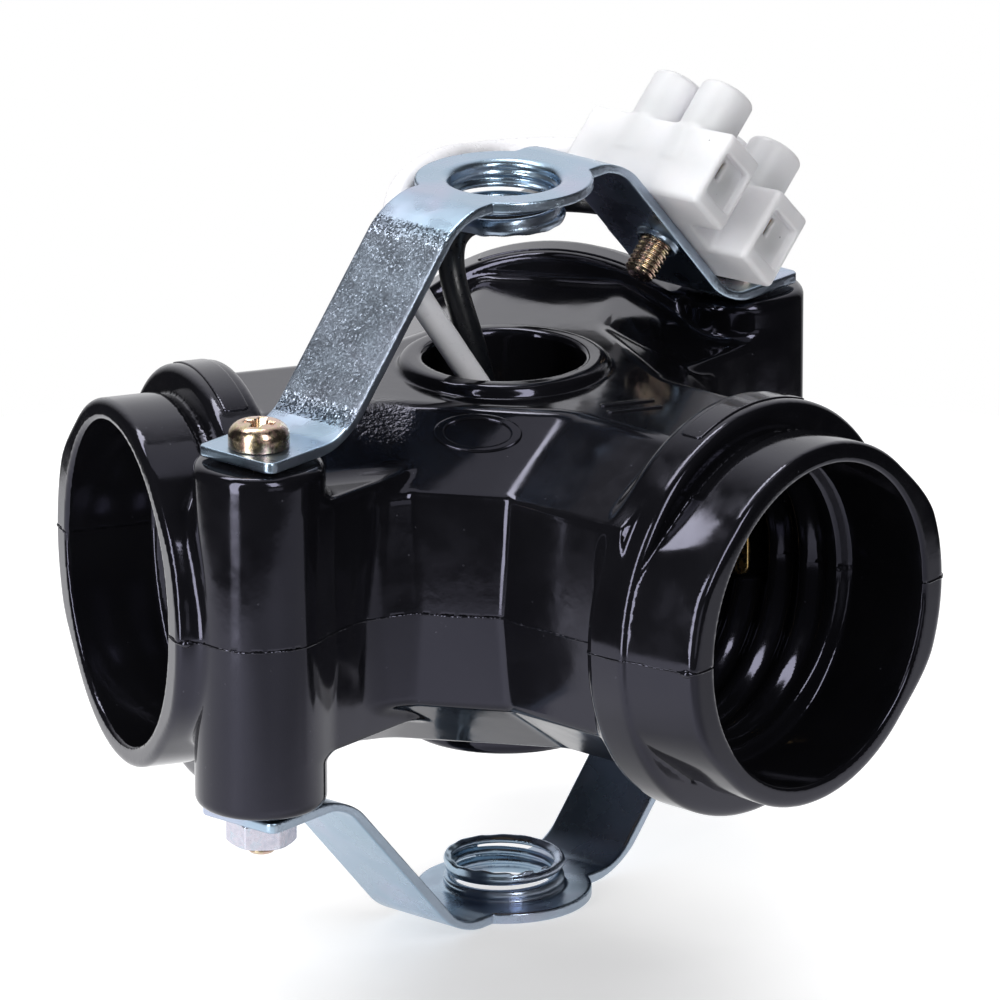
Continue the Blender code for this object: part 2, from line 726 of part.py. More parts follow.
def contact_carrier():
    low, high = CARRIER_HEIGHTS
    operations = []
    for turn in SOCKET_TURNS.values():
        place = turned_about_z(turn) @ Matrix.Translation((0, RIVET_Y, 0))
        operations.append(cut(cylinder(RIVET_HOLE_RADIUS, low - MM, high + MM, place)))
        operations.append(cut(cylinder(RIVET_HEAD_RADIUS + GAP, low - MM, low + 1.1 * MM, place)))
    disc = sheet_disc(CARRIER_RADIUS, CARRIER_HEIGHTS)
    new_part("contact_carrier", "fibre_board", disc, *operations)


def line_plate():
    low, high = LINE_PLATE_HEIGHTS
    operations = []
    for turn in SOCKET_TURNS.values():
        place = turned_about_z(turn) @ Matrix.Translation((0, RIVET_Y, 0))
        operations.append(cut(cylinder(RIVET_HOLE_RADIUS, low - MM, high + MM, place)))
    disc = sheet_disc(LINE_PLATE_RADIUS, LINE_PLATE_HEIGHTS)
    new_part("line_plate", "brass", disc, *operations)


def neutral_plate():
    """A ring under the cavity's roof, with a leg beside each socket's floor."""
    low, high = NEUTRAL_PLATE_HEIGHTS
    half_width = (2 * NEUTRAL_CORNER_REACH - NEUTRAL_PLATE_REACH) / math.sqrt(3)
    corners = []
    for turn in SOCKET_TURNS.values():
        for x in (-half_width, half_width):
            for z in (low, high):
                corners.append(turned_about_z(turn) @ Vector((x, NEUTRAL_PLATE_REACH, z)))
    operations = []
    for turn in SOCKET_TURNS.values():
        socket = turned_about_z(turn)
        leg_thickness = (LEG_X - STRIP / 2, LEG_X + STRIP / 2)
        leg = box(leg_thickness, LEG_SPAN, (LEG_FOOT, low + SHEET / 2), socket)
        hole = along_x(socket @ Matrix.Translation((0, RIVET_Y, 0)))
        operations.append(add(leg))
        operations.append(cut(cylinder(RIVET_HOLE_RADIUS, LEG_X - MM, LEG_X + MM, hole)))
    operations.append(cut(cylinder(NEUTRAL_HOLE_RADIUS, low - MM, high + MM, segments=ROUND)))
    new_part("neutral_plate", "brass", hull(corners), *operations)


def rivet(name, axes, low, high):
    """A rivet along +Z of the given axes, between the outer faces of its two heads."""
    profile = [
        (0, high),
        (RIVET_HEAD_RADIUS - 0.3 * MM, high),
        (RIVET_HEAD_RADIUS, high - 0.25 * MM),
        (RIVET_HEAD_RADIUS, high - RIVET_HEAD_HEIGHT),
        (RIVET_RADIUS, high - RIVET_HEAD_HEIGHT),
        (RIVET_RADIUS, low + RIVET_HEAD_HEIGHT),
        (RIVET_HEAD_RADIUS, low + RIVET_HEAD_HEIGHT),
        (RIVET_HEAD_RADIUS, low),
        (0, low),
    ]
    new_part(name, "brass", turned(profile, axes))


def centre_contact(name, socket):
    """The sprung tongue that meets the lamp's tip. Its hinge is at its rivet."""
    corners = [
        (6.0 * MM, CENTRE_FOOT),
        (8.7 * MM, CENTRE_FOOT),
        (12.4 * MM, -2.4 * MM),
        (13.7 * MM, 0.8 * MM),
        (12.9 * MM, 2.8 * MM),
    ]
    facing = socket @ Matrix(((0, 0, 1, 0), (1, 0, 0, 0), (0, 1, 0, 0), (0, 0, 0, 1)))
    tongue = bent_strip(corners, 0.7 * MM, STRIP, 2 * CENTRE_HALF_WIDTH, facing)
    foot = socket @ Matrix.Translation((0, RIVET_Y, 0))
    hole = cylinder(RIVET_HOLE_RADIUS, CENTRE_FOOT - MM, CENTRE_FOOT + MM, foot)
    origin = socket @ Vector((0, RIVET_Y, CENTRE_FOOT))
    new_part(f"centre_contact_{name}", "brass", tongue, cut(hole), origin=origin)
    bottom = CARRIER_HEIGHTS[0] + GAP
    top = CENTRE_FOOT + STRIP / 2 + GAP + RIVET_HEAD_HEIGHT
    rivet(f"centre_rivet_{name}", foot, bottom, top)


def side_contact(name, socket):
    """The sprung strip that meets the lamp's threaded cap. Its hinge is at its rivet."""
    corners = [
        (SIDE_X, 5.9 * MM),
        (SIDE_X, 13.5 * MM),
        (SIDE_X + 0.6 * MM, 17.0 * MM),
        (SIDE_X + 0.15 * MM, 19.2 * MM),
    ]
    strip = bent_strip(corners, 0.8 * MM, STRIP, 2 * SIDE_HALF_HEIGHT, socket)
    across = along_x(socket @ Matrix.Translation((0, RIVET_Y, 0)))
    hole = cylinder(RIVET_HOLE_RADIUS, SIDE_X - MM, SIDE_X + MM, across)
    origin = socket @ Vector((SIDE_X, RIVET_Y, 0))
    new_part(f"side_contact_{name}", "brass", strip, cut(hole), origin=origin)
    low = LEG_X - STRIP / 2 - GAP - RIVET_HEAD_HEIGHT
    high = SIDE_X + STRIP / 2 + GAP + RIVET_HEAD_HEIGHT
    rivet(f"side_rivet_{name}", across, low, high)


def line_lug():
    foot = LINE_PLATE_HEIGHTS[1] + GAP
    flange = cylinder(2.2 * MM, foot, foot + 0.5 * MM)
    sleeve = cylinder(LUG_RADIUS, foot + 0.2 * MM, foot + 3.6 * MM)
    inside = cylinder(LUG_BORE_RADIUS, foot + 1.5 * MM, foot + 5 * MM)
    new_part("line_lug", "brass", flange, add(sleeve), cut(inside))


def neutral_lug():
    """A sleeve that leans towards the lead hole, hung from a corner of the neutral plate."""
    corner = turned_about_z(120)
    top = NEUTRAL_PLATE_HEIGHTS[0] - GAP
    foot = box((-1.2 * MM, 1.2 * MM), (10.4 * MM, 12.4 * MM), (top - STRIP, top), corner)
    riser = box((-1.0 * MM, 1.0 * MM), (10.5 * MM, 10.9 * MM), (2.4 * MM, top - STRIP / 2), corner)
    lean = Matrix.Rotation(math.atan2(2.0, 2.4), 4, "X")
    place = corner @ Matrix.Translation((0, 9.4 * MM, 2.4 * MM)) @ lean
    sleeve = cylinder(LUG_RADIUS, 0, 3.0 * MM, place)
    inside = cylinder(LUG_BORE_RADIUS, 1.0 * MM, 4.0 * MM, place)
    new_part("neutral_lug", "brass", foot, add(riser), add(sleeve), cut(inside))


def contacts():
    contact_carrier()
    line_plate()
    neutral_plate()
    for name, turn in SOCKET_TURNS.items():
        centre_contact(name, turned_about_z(turn))
        side_contact(name, turned_about_z(turn))
    line_lug()
    neutral_lug()


# The leads ------------------------------------------------------------------------------------------


def terminal_entry(x):
    """Two points on a pole's axis: outside its far wire entry, and where the insulation ends in it."""
    axes = block_axes()
    stop = TUBE_ENDS[1] + GAP
    return [axes @ Vector((x, y, TUBE_HEIGHT)) for y in (stop + 2.4 * MM, stop)]


def white_route():
    free = [
        (-6.22, -3.59, 5.05),
        (-5.4, -3.12, 6.55),
        (-4.75, -2.7, 8.8),
        (-4.4, -2.5, 11.5),
        (-4.5, -2.3, 14.5),
        (-5.7, -0.4, 17.6),
        (-7.6, 1.0, 21.6),
        (-9.0, 3.0, 25.0),
        (-8.5, 4.6, 28.1),
        (-6.9, 7.1, 30.6),
        (-4.0, 8.9, 32.2),
        (-0.4, 9.6, 33.0),
        (3.4, 9.8, 33.1),
        (6.8, 11.1, 32.3),
        (9.8, 13.3, 31.1),
        (12.8, 15.4, 30.0),
        (16.3, 16.2, 29.3),
        (19.2, 14.5, 29.2),
        (20.4, 11.6, 29.6),
    ]
    return [Vector(point) * MM for point in free] + terminal_entry(-POLE_X)


def black_route():
    free = [
        (0.0, 0.0, -5.1),
        (-0.1, 0.0, -2.5),
        (-0.5, 0.1, 2.0),
        (-1.1, 0.2, 7.0),
        (-1.8, 0.3, 12.0),
        (-2.7, 0.6, 16.8),
        (-3.9, 1.0, 20.8),
        (-4.5, 2.0, 24.3),
        (-3.4, 3.6, 27.2),
        (-0.6, 5.0, 28.5),
        (3.0, 5.3, 28.6),
        (7.1, 4.9, 27.9),
        (10.8, 5.2, 27.1),
        (13.9, 7.1, 26.3),
        (16.0, 9.9, 25.4),
        (18.1, 12.9, 24.6),
        (20.8, 15.1, 23.9),
        (24.1, 14.9, 23.4),
        (26.3, 12.1, 23.3),
    ]
    return [Vector(point) * MM for point in free] + terminal_entry(POLE_X)


def smooth_path(points, spacing):
    """Points a spacing apart along a smooth curve that the given ones guide."""
    ends = [2 * points[0] - points[1], *points, 2 * points[-1] - points[-2]]
    fine = []
    for before, start, stop, after in zip(ends, ends[1:], ends[2:], ends[3:]):
        for step in range(24):
            t = step / 24
            blend = (1 - t) ** 3 * before + (3 * t**3 - 6 * t**2 + 4) * start
            blend += (1 + 3 * t + 3 * t**2 - 3 * t**3) * stop + t**3 * after
            fine.append(blend / 6)
    fine.append(points[-1])
    path = [fine[0]]
    for point in fine:
        if (point - path[-1]).length >= spacing:
            path.append(point)
    path[-1] = fine[-1]
    return path


def lead(name, route, material):
    curve = bpy.data.curves.new(name, "CURVE")
    curve.dimensions = "3D"
    curve.bevel_depth = LEAD_RADIUS
    curve.bevel_resolution = 2
    curve.use_fill_caps = True
    path = smooth_path(route, LEAD_SPACING)
    spline = curve.splines.new("POLY")
    spline.points.add(len(path) - 1)
    for point, place in zip(spline.points, path):
        point.co = (*place, 1)
    curve.materials.append(MATERIALS[material])
    wire = bpy.data.objects.new(name, curve)
    wire.parent = ASSEMBLY
    PARTS.objects.link(wire)


housing("upper_housing", "upper")
housing("lower_housing", "lower")
bracket("upper_bracket", 1, True)
bracket("lower_bracket", -1, False)
clamp_fasteners("left", -COLUMN_X)
clamp_fasteners("right", COLUMN_X)
terminal_block()
contacts()
lead("white_lead", white_route(), "white_insulation")
lead("black_lead", black_route(), "black_insulation")
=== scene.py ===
"""The looks of a three-way E27 lampholder cluster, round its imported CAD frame.

Shapes are laid out in millimetres from the housing's parting plane, as distance fields: a field is the
distance to a surface, negative inside, so a maximum of two fields is what both hold and a minimum is either
of them.
"""

import math

import bmesh
import bpy
import numpy as np
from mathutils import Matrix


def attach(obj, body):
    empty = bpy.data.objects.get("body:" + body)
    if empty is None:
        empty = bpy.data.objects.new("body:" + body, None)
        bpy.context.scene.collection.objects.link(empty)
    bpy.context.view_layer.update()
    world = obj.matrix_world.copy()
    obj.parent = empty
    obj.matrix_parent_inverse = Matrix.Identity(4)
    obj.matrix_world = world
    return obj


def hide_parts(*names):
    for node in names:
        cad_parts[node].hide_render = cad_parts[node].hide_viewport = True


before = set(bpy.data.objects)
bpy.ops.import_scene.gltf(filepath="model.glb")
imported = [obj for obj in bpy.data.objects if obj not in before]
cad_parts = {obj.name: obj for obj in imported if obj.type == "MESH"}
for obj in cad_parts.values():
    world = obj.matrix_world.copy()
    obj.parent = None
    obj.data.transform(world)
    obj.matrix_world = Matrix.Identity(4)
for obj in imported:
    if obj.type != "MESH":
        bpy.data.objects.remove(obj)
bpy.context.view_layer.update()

import openvdb
from mathutils import Matrix, Vector

MM = 0.001
ROOT = "cluster"

# The parting plane is as far below the upper bracket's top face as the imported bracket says.
PLATE_FACE = 34.2
TO_ROW = Matrix.Translation((0, 0, -PLATE_FACE * MM)) @ Matrix.Scale(MM, 4)

# The sockets, by the turn about Z that brings +Y to the socket's axis.
SOCKET_TURNS = {"front": 180, "left": 60, "rear": -60}
PANEL_AZIMUTHS = (90, 210, 330)

# Housing. A height that differs between the halves is given by side, 1 for the upper and -1 for the lower.
MOUTH_REACH = 36.85
ENTRY_RADIUS = 14.7
ENTRY_REACH = 28.6
BORE_RADIUS = 13.3
FLOOR_REACH = 12.2
THREAD_PITCH = 3.63
THREAD_DEPTH = 0.95
BARREL_RADIUS = 16.65
RING_RADIUS = 19.0
RING_REACH = (25.4, 30.2)
CHEEK_RADII = (19.0, 17.55)
CHEEK_REACH = (28.4, MOUTH_REACH)
CHEEK_HALF_HEIGHT = 8.3
WALL_HALF_WIDTH = 17.0
CREASE_HALF_WIDTH = 16.45
ROOF_HALF_WIDTH = 6.5
WALL_PANEL_REACH = 21.8
CREASE_PANEL_REACH = 21.5
ROOF_PANEL_REACH = 12.2
ROOF_HEIGHT = {1: 16.45, -1: 15.4}
CREASE_HEIGHT = {1: 11.0, -1: 8.6}
BOSS_RADIUS = 9.55
BOSS_HEIGHT = 17.5
BOSS_HOLE_RADIUS = 7.25
COLUMN_X = 33.3
COLUMN_RADIUS = 5.9
COLUMN_HEIGHT = 16.0
WEB_HALF_WIDTH = 5.2
WEB_HEIGHT = {1: 12.4, -1: 11.3}
SCREW_HOLE_RADIUS = 1.8
SEAM_GAP = 0.01
TORN_PATCH = (-16.6, 0.6, 14)
TORN_FADE = (1.5 * MM, 5.0 * MM)

# Brackets.
STEEL = 1.0
BRACKET_HALF_WIDTH = 4.4
TAB_END = 36.7
TAB_FACE = 17.3
LOWER_BEND_X = 27.0
UPPER_BEND_X = 11.3
PLATE_RADIUS = 8.0
COLLAR_RADIUS = 5.55
COLLAR_RIM = 30.2
COLLAR_BORE_RADIUS = 4.95
COLLAR_THREAD_DEPTH = 0.42
COLLAR_THREAD_PITCH = 1.1

# M3 fasteners.
M3_RADIUS = 1.5
M3_PITCH = 0.5
CLAMP_HEAD_RADIUS = 2.75
CLAMP_HEAD_HEIGHT = 2.25
CLAMP_SEAT = TAB_FACE + 0.02
CLAMP_TIP = -20.7
M3_THREAD_DEPTH = 0.22
NUT_HALF_WIDTH = 2.75
NUT_CORNER_RADIUS = 3.175
NUT_BORE_RADIUS = 1.62
NUT_HEIGHT = 2.4

# Terminal block, in its own axes: +X down the bracket's slope, +Z out of it, from the fixing screw.
BLOCK_ALONG_SLOPE = 13.0
BLOCK_OFFSET_Y = -1.87
BLOCK_TWIST = -3.65
POLE_X = 4.57
POLE_HALF_WIDTH = 2.6
BLOCK_ENDS = (-8.45, 8.8)
BLOCK_HEIGHT = 7.6
BRIDGE_HEIGHT = 4.6
BRIDGE_HALF_LENGTH = 4.3
TOWER_Y = 2.9
TOWER_RADIUS = 2.6
TOWER_TOP = 12.8
TOWER_BORE_RADIUS = 1.95
TUBE_HEIGHT = 3.9
TUBE_RADIUS = 1.7
TUBE_BORE_RADIUS = 1.2
TUBE_ENDS = (-7.0, 7.3)
POLE_HEAD_RADIUS = 1.6
POLE_SHANK_RADIUS = 1.15
POLE_SCREW_PITCH = 0.45
POLE_SCREW_TIP = 4.0
POLE_SCREW_SHOULDER = 9.0
POLE_SCREW_TOP = 10.4
BLOCK_SCREW_TIP = -5.0

# Contacts.
STRIP = 0.4
CARRIER_RADIUS = 9.1
CARRIER_HEIGHTS = (-12.2, -10.2)
LINE_PLATE_RADIUS = 8.6
LINE_PLATE_HEIGHTS = (-9.9, -9.3)
NEUTRAL_PLATE_HEIGHTS = (8.1, 8.7)
NEUTRAL_PLATE_REACH = 9.4
NEUTRAL_CORNER_REACH = 17.0
NEUTRAL_HOLE_RADIUS = 7.6
LEG_X = -12.35
LEG_SPAN = (5.4, 9.0)
LEG_FOOT = -2.5
RIVET_Y = 7.2
RIVET_RADIUS = 0.7
RIVET_HEAD_RADIUS = 1.35
RIVET_HEAD_HEIGHT = 0.5
CENTRE_HALF_WIDTH = 2.5
CENTRE_FOOT = -8.8
SIDE_HALF_HEIGHT = 2.3
SIDE_X = -11.65
LUG_RADIUS = 1.5
LUG_BORE_RADIUS = 1.1
LEAD_RADIUS = 1.2


def turned(degrees):
    """A turn about Z."""
    return Matrix.Rotation(math.radians(degrees), 4, "Z")


def block_axes():
    """The terminal block's axes, from the fixing screw's axis on the slope of the upper bracket."""
    angle = math.atan2(PLATE_FACE - TAB_FACE, LOWER_BEND_X - UPPER_BEND_X)
    start = Vector((UPPER_BEND_X, BLOCK_OFFSET_Y, PLATE_FACE))
    down = Vector((math.cos(angle), 0, -math.sin(angle)))
    place = Matrix.Translation(start + down * BLOCK_ALONG_SLOPE) @ Matrix.Rotation(angle, 4, "Y")
    return place @ turned(BLOCK_TWIST)


BLOCK_AXES = block_axes()
LUG_PLACE = Matrix.Translation((0, 9.4, 2.4)) @ Matrix.Rotation(math.atan2(2.0, 2.4), 4, "X")


# Camera: its direction in degrees, its target in millimetres and its distance in metres.
CAMERA_AZIMUTH = -49.6
CAMERA_ELEVATION = 18.7
CAMERA_TARGET = (-0.233, 0.274, 3.67)
CAMERA_DISTANCE = 1.199
CAMERA_LENS = 478.5

# Studio. A softbox is a name, an azimuth, an elevation, a width and a height in degrees, and a brightness.
SOFTBOXES = (
    ("left_box", 178, 16.5, 17, 67, 9.5),
    ("right_box", 247, 40, 13, 38, 9.0),
    ("top_box", 78, 65, 40, 12, 9.0),
    ("ceiling", 45, 80, 34, 26, 0.8),
    ("front_fill", 247, -3, 24, 18, 0.7),
)
SOFTBOX_DISTANCE = 0.8
BACKDROP_DIRECTION = (0.72, 0.61, 0.33)
# The floor's glow is painted light. It fades in front of the object and dips to a painted shadow round a
# spot just before it.
FLOOR_RADIUS = 0.147
FLOOR_FORWARD = (-0.17, -0.985, 0)
FLOOR_GLOW = 0.8
FLOOR_FRONT_GLOW = 0.12
FLOOR_FADE = (0.035, 0.09)
FLOOR_PAINTED_SHADOW_SPOT = (-0.016, -0.018, 0)
PAINTED_SHADOW_FADE = (0.006, 0.04)


# Fields ------------------------


def meet(a, b, radius):
    """What is in both, with its outer edge rounded."""
    inside = np.minimum(-radius, np.maximum(a, b))
    return inside + np.hypot(np.maximum(radius + a, 0), np.maximum(radius + b, 0))


def join(a, b, radius):
    """What is in either, with a fillet in the corner between them."""
    outside = np.maximum(radius, np.minimum(a, b))
    return outside - np.hypot(np.maximum(radius - a, 0), np.maximum(radius - b, 0))


def cut(a, b, radius):
    return meet(a, -b, radius)


def between(value, low, high):
    return np.abs(value - (low + high) / 2) - (high - low) / 2


def box(x, y, z, x_span, y_span, z_span, radius):
    """A box with rounded edges."""
    edges = meet(between(x, *x_span), between(y, *y_span), radius)
    return meet(edges, between(z, *z_span), radius)


def local(place, x, y, z):
    """The same points in the axes of place."""
    rows = np.array(place.inverted(), np.float32)[:3]
    return [a * x + b * y + c * z + d for a, b, c, d in rows]


def to_segment(u, v, start, end):
    """The distance to a straight piece of a section's line."""
    du, dv = end[0] - start[0], end[1] - start[1]
    t = np.clip(((u - start[0]) * du + (v - start[1]) * dv) / (du * du + dv * dv), 0, 1)
    return np.hypot(u - start[0] - t * du, v - start[1] - t * dv)


def bent_strip(u, v, across, corners, half_width):
    """A sprung strip whose middle follows the corners in a section."""
    middle = 9.0
    for start, end in zip(corners, corners[1:]):
        middle = join(middle, to_segment(u, v, start, end) - STRIP / 2, 0.25)
    return meet(middle, np.abs(across) - half_width, 0.12)


def beyond_line(u, v, start, end):
    """The distance outside a straight line in a section, with the solid on the left of start to end."""
    du, dv = end[0] - start[0], end[1] - start[1]
    length = math.hypot(du, dv)
    return (dv * (u - start[0]) - du * (v - start[1])) / length


def smooth_step(value, low, high):
    t = np.clip((value - low) / (high - low), 0, 1)
    return t * t * (3 - 2 * t)


def helix(angle, along, pitch):
    """A wave from 0 to 1 that winds once round for each pitch of length, right-handed."""
    return 0.5 + 0.5 * np.cos(2 * math.pi * along / pitch - angle)


def surface_moves(field, points, step):
    """How far each point has to move to lie on a field's surface."""
    small = 0.02 * step
    x, y, z = points.T
    here = field(x, y, z)
    slope = np.stack(
        [
            field(x + small, y, z) - here,
            field(x, y + small, z) - here,
            field(x, y, z + small) - here,
        ],
        axis=1,
    ) / small
    steep = np.maximum((slope**2).sum(axis=1), 0.3)
    return -slope * np.clip(here / steep, -0.4 * step, 0.4 * step)[:, None]


def skin(field, low, high, step):
    """(points, quads) of a field's surface inside a box, each point moved onto it."""
    axes = [np.arange(a, b + step, step, dtype=np.float32) for a, b in zip(low, high)]
    x, y, z = np.meshgrid(*axes, indexing="ij", sparse=True)
    reach = 3 * step
    values = np.clip(np.broadcast_to(field(x, y, z), [len(axis) for axis in axes]), -reach, reach)
    grid = openvdb.FloatGrid(reach)
    grid.copyFromArray(np.ascontiguousarray(values, dtype=np.float32))
    points, quads = grid.convertToQuads(0.0)
    points = points * step + np.array(low, np.float32)
    for _ in range(2):
        points = points + surface_moves(field, points, step)
    return points, quads


def flat_side(points, field, level, step):
    """Brings the points beside a flat side onto it, and those along its rim out to its edge."""
    level_points = np.where([False, False, True], level, points).astype(points.dtype)
    x, y, z = level_points.T
    rim = (np.abs(points[:, 2] - level) < 0.6 * step) & (np.abs(field(x, y, z)) < 0.7 * step)
    edge = level_points[rim]
    for _ in range(3):
        edge = edge + surface_moves(field, edge, step) * (1, 1, 0)
    points[rim] = edge
    return points


# Pieces ------------------------


def place_mesh(name, mesh, material, body, nodes):
    piece = bpy.data.objects.new(f"{name}_fine", mesh)
    bpy.context.scene.collection.objects.link(piece)
    mesh.materials.append(material)
    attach(piece, body)
    if nodes:
        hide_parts(*nodes)
    return piece


def solid(name, field, low, high, step, material, nodes=(), body=ROOT, place=None):
    """A piece whose surface is where a field is 0. Its box is in millimetres, in the axes of place."""
    points, quads = skin(field, low, high, step)
    return mesh_piece(name, points, quads, material, nodes, body, place)


def mesh_piece(name, points, quads, material, nodes, body=ROOT, place=None, sharp=180):
    """A piece from its points in millimetres. Edges that turn by more than sharp degrees are drawn sharp."""
    matrix = np.array(TO_ROW @ (place or Matrix()), np.float64)
    points = points @ matrix[:3, :3].T + matrix[:3, 3]
    mesh = bpy.data.meshes.new(name)
    mesh.vertices.add(len(points))
    mesh.vertices.foreach_set("co", points.astype(np.float32).ravel())
    mesh.loops.add(quads.size)
    mesh.loops.foreach_set("vertex_index", quads.astype(np.int32).ravel())
    mesh.polygons.add(len(quads))
    mesh.polygons.foreach_set("loop_start", np.arange(0, quads.size, 4, dtype=np.int32))
    mesh.update(calc_edges=True)
    mesh.validate()
    mesh.shade_smooth()
    if sharp < 180:
        mesh.set_sharp_from_angle(angle=math.radians(sharp))
    return place_mesh(name, mesh, material, body, nodes)


# Materials ------------------------


class Look:
    """A material in the making: its nodes, and the places that its patterns are laid on, in metres."""

    def __init__(self, name):
        self.material = bpy.data.materials.new(name)
        self.material.use_nodes = True
        self.tree = self.material.node_tree
        self.shader = self.tree.nodes["Principled BSDF"]
        self.places = self.add("TexCoord").outputs["Object"]

    def add(self, kind, inputs=(), **settings):
        node = self.tree.nodes.new("ShaderNode" + kind)
        for name, value in settings.items():
            setattr(node, name, value)
        for name, value in dict(inputs).items():
            self.put(node, name, value)
        return node

    def put(self, node, name, value):
        if isinstance(value, bpy.types.NodeSocket):
            self.tree.links.new(value, node.inputs[name])
        else:
            node.inputs[name].default_value = value

    def set(self, **inputs):
        for name, value in inputs.items():
            self.put(self.shader, name.replace("_", " "), value)

    def noise(self, grain, detail=2.0, distortion=0.0, stretch=(1, 1, 1)):
        """Cloudy noise from 0 to 1, its grain in millimetres."""
        places = self.add("Mapping", {"Vector": self.places, "Scale": stretch}).outputs[0]
        values = {"Vector": places, "Scale": 1 / (grain * MM), "Detail": detail, "Distortion": distortion}
        return self.add("TexNoise", values).outputs["Fac"]

    def scale(self, value, low, high, start=0.0, end=1.0):
        """The value, moved from between start and end to between low and high, smoothly."""
        values = {"Value": value, "From Min": start, "From Max": end, "To Min": low, "To Max": high}
        return self.add("MapRange", values, interpolation_type="SMOOTHSTEP").outputs["Result"]

    def math(self, operation, a, b=0.0):
        node = self.add("Math", operation=operation)
        for index, value in enumerate((a, b)):
            self.put(node, index, value)
        return node.outputs[0]

    def colours(self, factor, *stops):
        """A colour from a row of (place, colour)."""
        ramp = self.add("ValToRGB", {"Fac": factor})
        elements = ramp.color_ramp.elements
        while len(elements) < len(stops):
            elements.new(0.5)
        for element, (place, colour) in zip(elements, stops):
            element.position = place
            element.color = (*colour, 1)
        return ramp.outputs["Color"]

    def blend(self, factor, a, b):
        """Colour a, with colour b where the factor is 1."""
        node = self.add("Mix", data_type="RGBA")
        node.inputs[0].default_value = 0
        self.put(node, 0, factor)
        for index, colour in ((6, a), (7, b)):
            self.put(node, index, colour if isinstance(colour, bpy.types.NodeSocket) else (*colour, 1))
        return node.outputs[2]

    def bump(self, height, depth, before=None):
        """A normal from a height, its depth in millimetres."""
        node = self.add("Bump", {"Height": height, "Distance": depth * MM, "Strength": 1.0})
        if before:
            self.put(node, "Normal", before)
        return node.outputs[0]

    def away_from(self, place):
        """The distance to a place, in metres."""
        return self.add("VectorMath", {0: self.places, 1: place}, operation="DISTANCE").outputs["Value"]

    def specks(self, spacing, size):
        """1 inside small round specks, and 0 between them."""
        cells = self.add("TexVoronoi", {"Vector": self.places, "Scale": 1 / (spacing * MM)})
        return self.scale(cells.outputs["Distance"], 1, 0, 0.5 * size / spacing, size / spacing)

    def facets(self, size):
        """A height whose cells each tilt their own way, as in the grain of a zinc coat."""
        cells = self.add("TexVoronoi", {"Vector": self.places, "Scale": 1 / (size * MM)})
        scaled = self.add("VectorMath", {0: self.places}, operation="SCALE")
        scaled.inputs["Scale"].default_value = 1 / (size * MM)
        cell = {0: scaled.outputs[0], 1: cells.outputs["Position"]}
        inside = self.add("VectorMath", cell, operation="SUBTRACT")
        turn = {0: cells.outputs["Color"], 1: (0.5, 0.5, 0.5)}
        tilt = self.add("VectorMath", turn, operation="SUBTRACT")
        tilted = {0: inside.outputs[0], 1: tilt.outputs[0]}
        return self.add("VectorMath", tilted, operation="DOT_PRODUCT").outputs["Value"]


def black_phenolic():
    look = Look("black_phenolic")
    cloud = look.noise(9, 3)
    base = look.colours(cloud, (0.3, (0.0035, 0.0035, 0.0045)), (0.7, (0.006, 0.006, 0.0075)))
    flecks = look.math("MULTIPLY", look.specks(1.3, 0.1), look.scale(look.noise(5), 0, 1, 0.45, 0.65))
    look.set(Base_Color=look.blend(flecks, base, (0.05, 0.05, 0.06)))
    look.set(Roughness=look.scale(look.noise(2.5, 4), 0.07, 0.13, 0.3, 0.7))
    # The skin ripples a little all over, and is torn rough in one patch beside the near column.
    patch = look.scale(look.away_from(TO_ROW @ Vector(TORN_PATCH)), 1, 0, *TORN_FADE)
    torn = look.math("MULTIPLY", look.noise(0.35, 3), patch)
    normal = look.bump(look.noise(2.4, 2), 0.009)
    normal = look.bump(look.noise(0.28, 2), 0.001, normal)
    normal = look.bump(torn, 0.12, normal)
    look.set(Normal=normal, IOR=1.5, Specular_Tint=(0.76, 0.755, 1.0, 1))
    return look.material


def zinc_plate():
    """Rolled steel with a bluish zinc coat: smooth where it lay flat, grained where the slope was worked."""
    look = Look("zinc_plate")
    base = look.colours(
        look.noise(9, 2, 0.4),
        (0.30, (0.34, 0.46, 0.57)),
        (0.50, (0.38, 0.49, 0.61)),
        (0.70, (0.45, 0.49, 0.62)),
    )
    parts = look.add("SeparateXYZ", {"Vector": look.places})
    far = look.math("ABSOLUTE", parts.outputs["X"])
    rise = look.scale(far, 0, 1, (UPPER_BEND_X + 0.8) * MM, (UPPER_BEND_X + 2.6) * MM)
    fall = look.scale(far, 1, 0, (LOWER_BEND_X - 2.2) * MM, (LOWER_BEND_X - 0.4) * MM)
    slope = look.math("MULTIPLY", rise, fall)
    facing = look.add("SeparateXYZ", {"Vector": look.add("NewGeometry").outputs["Normal"]})
    outer = look.scale(facing.outputs["Z"], 0, 1, 0.2, 0.5)
    upper = look.scale(parts.outputs["Z"], 0, 1, -PLATE_FACE * MM, (5 - PLATE_FACE) * MM)
    slope = look.math("MULTIPLY", slope, look.math("MULTIPLY", outer, upper))
    sheared = look.scale(look.math("ABSOLUTE", facing.outputs["Y"]), 0, 1, 0.75, 0.9)
    grain = look.math("MAXIMUM", slope, look.math("MULTIPLY", sheared, 0.8))
    dulled = look.blend(look.math("MULTIPLY", grain, 0.7), base, (0.40, 0.44, 0.52))
    look.set(Base_Color=dulled, Metallic=1.0)
    smooth = look.scale(look.noise(3, 2), 0.24, 0.32, 0.3, 0.7)
    look.set(Roughness=look.math("ADD", smooth, look.math("MULTIPLY", grain, 0.1)))
    height = look.math("MULTIPLY", look.facets(0.15), grain)
    normal = look.bump(look.noise(4, 2), 0.012)
    normal = look.bump(look.noise(0.3, 2), 0.0008, normal)
    look.set(Normal=look.bump(height, 0.034, normal))
    return look.material


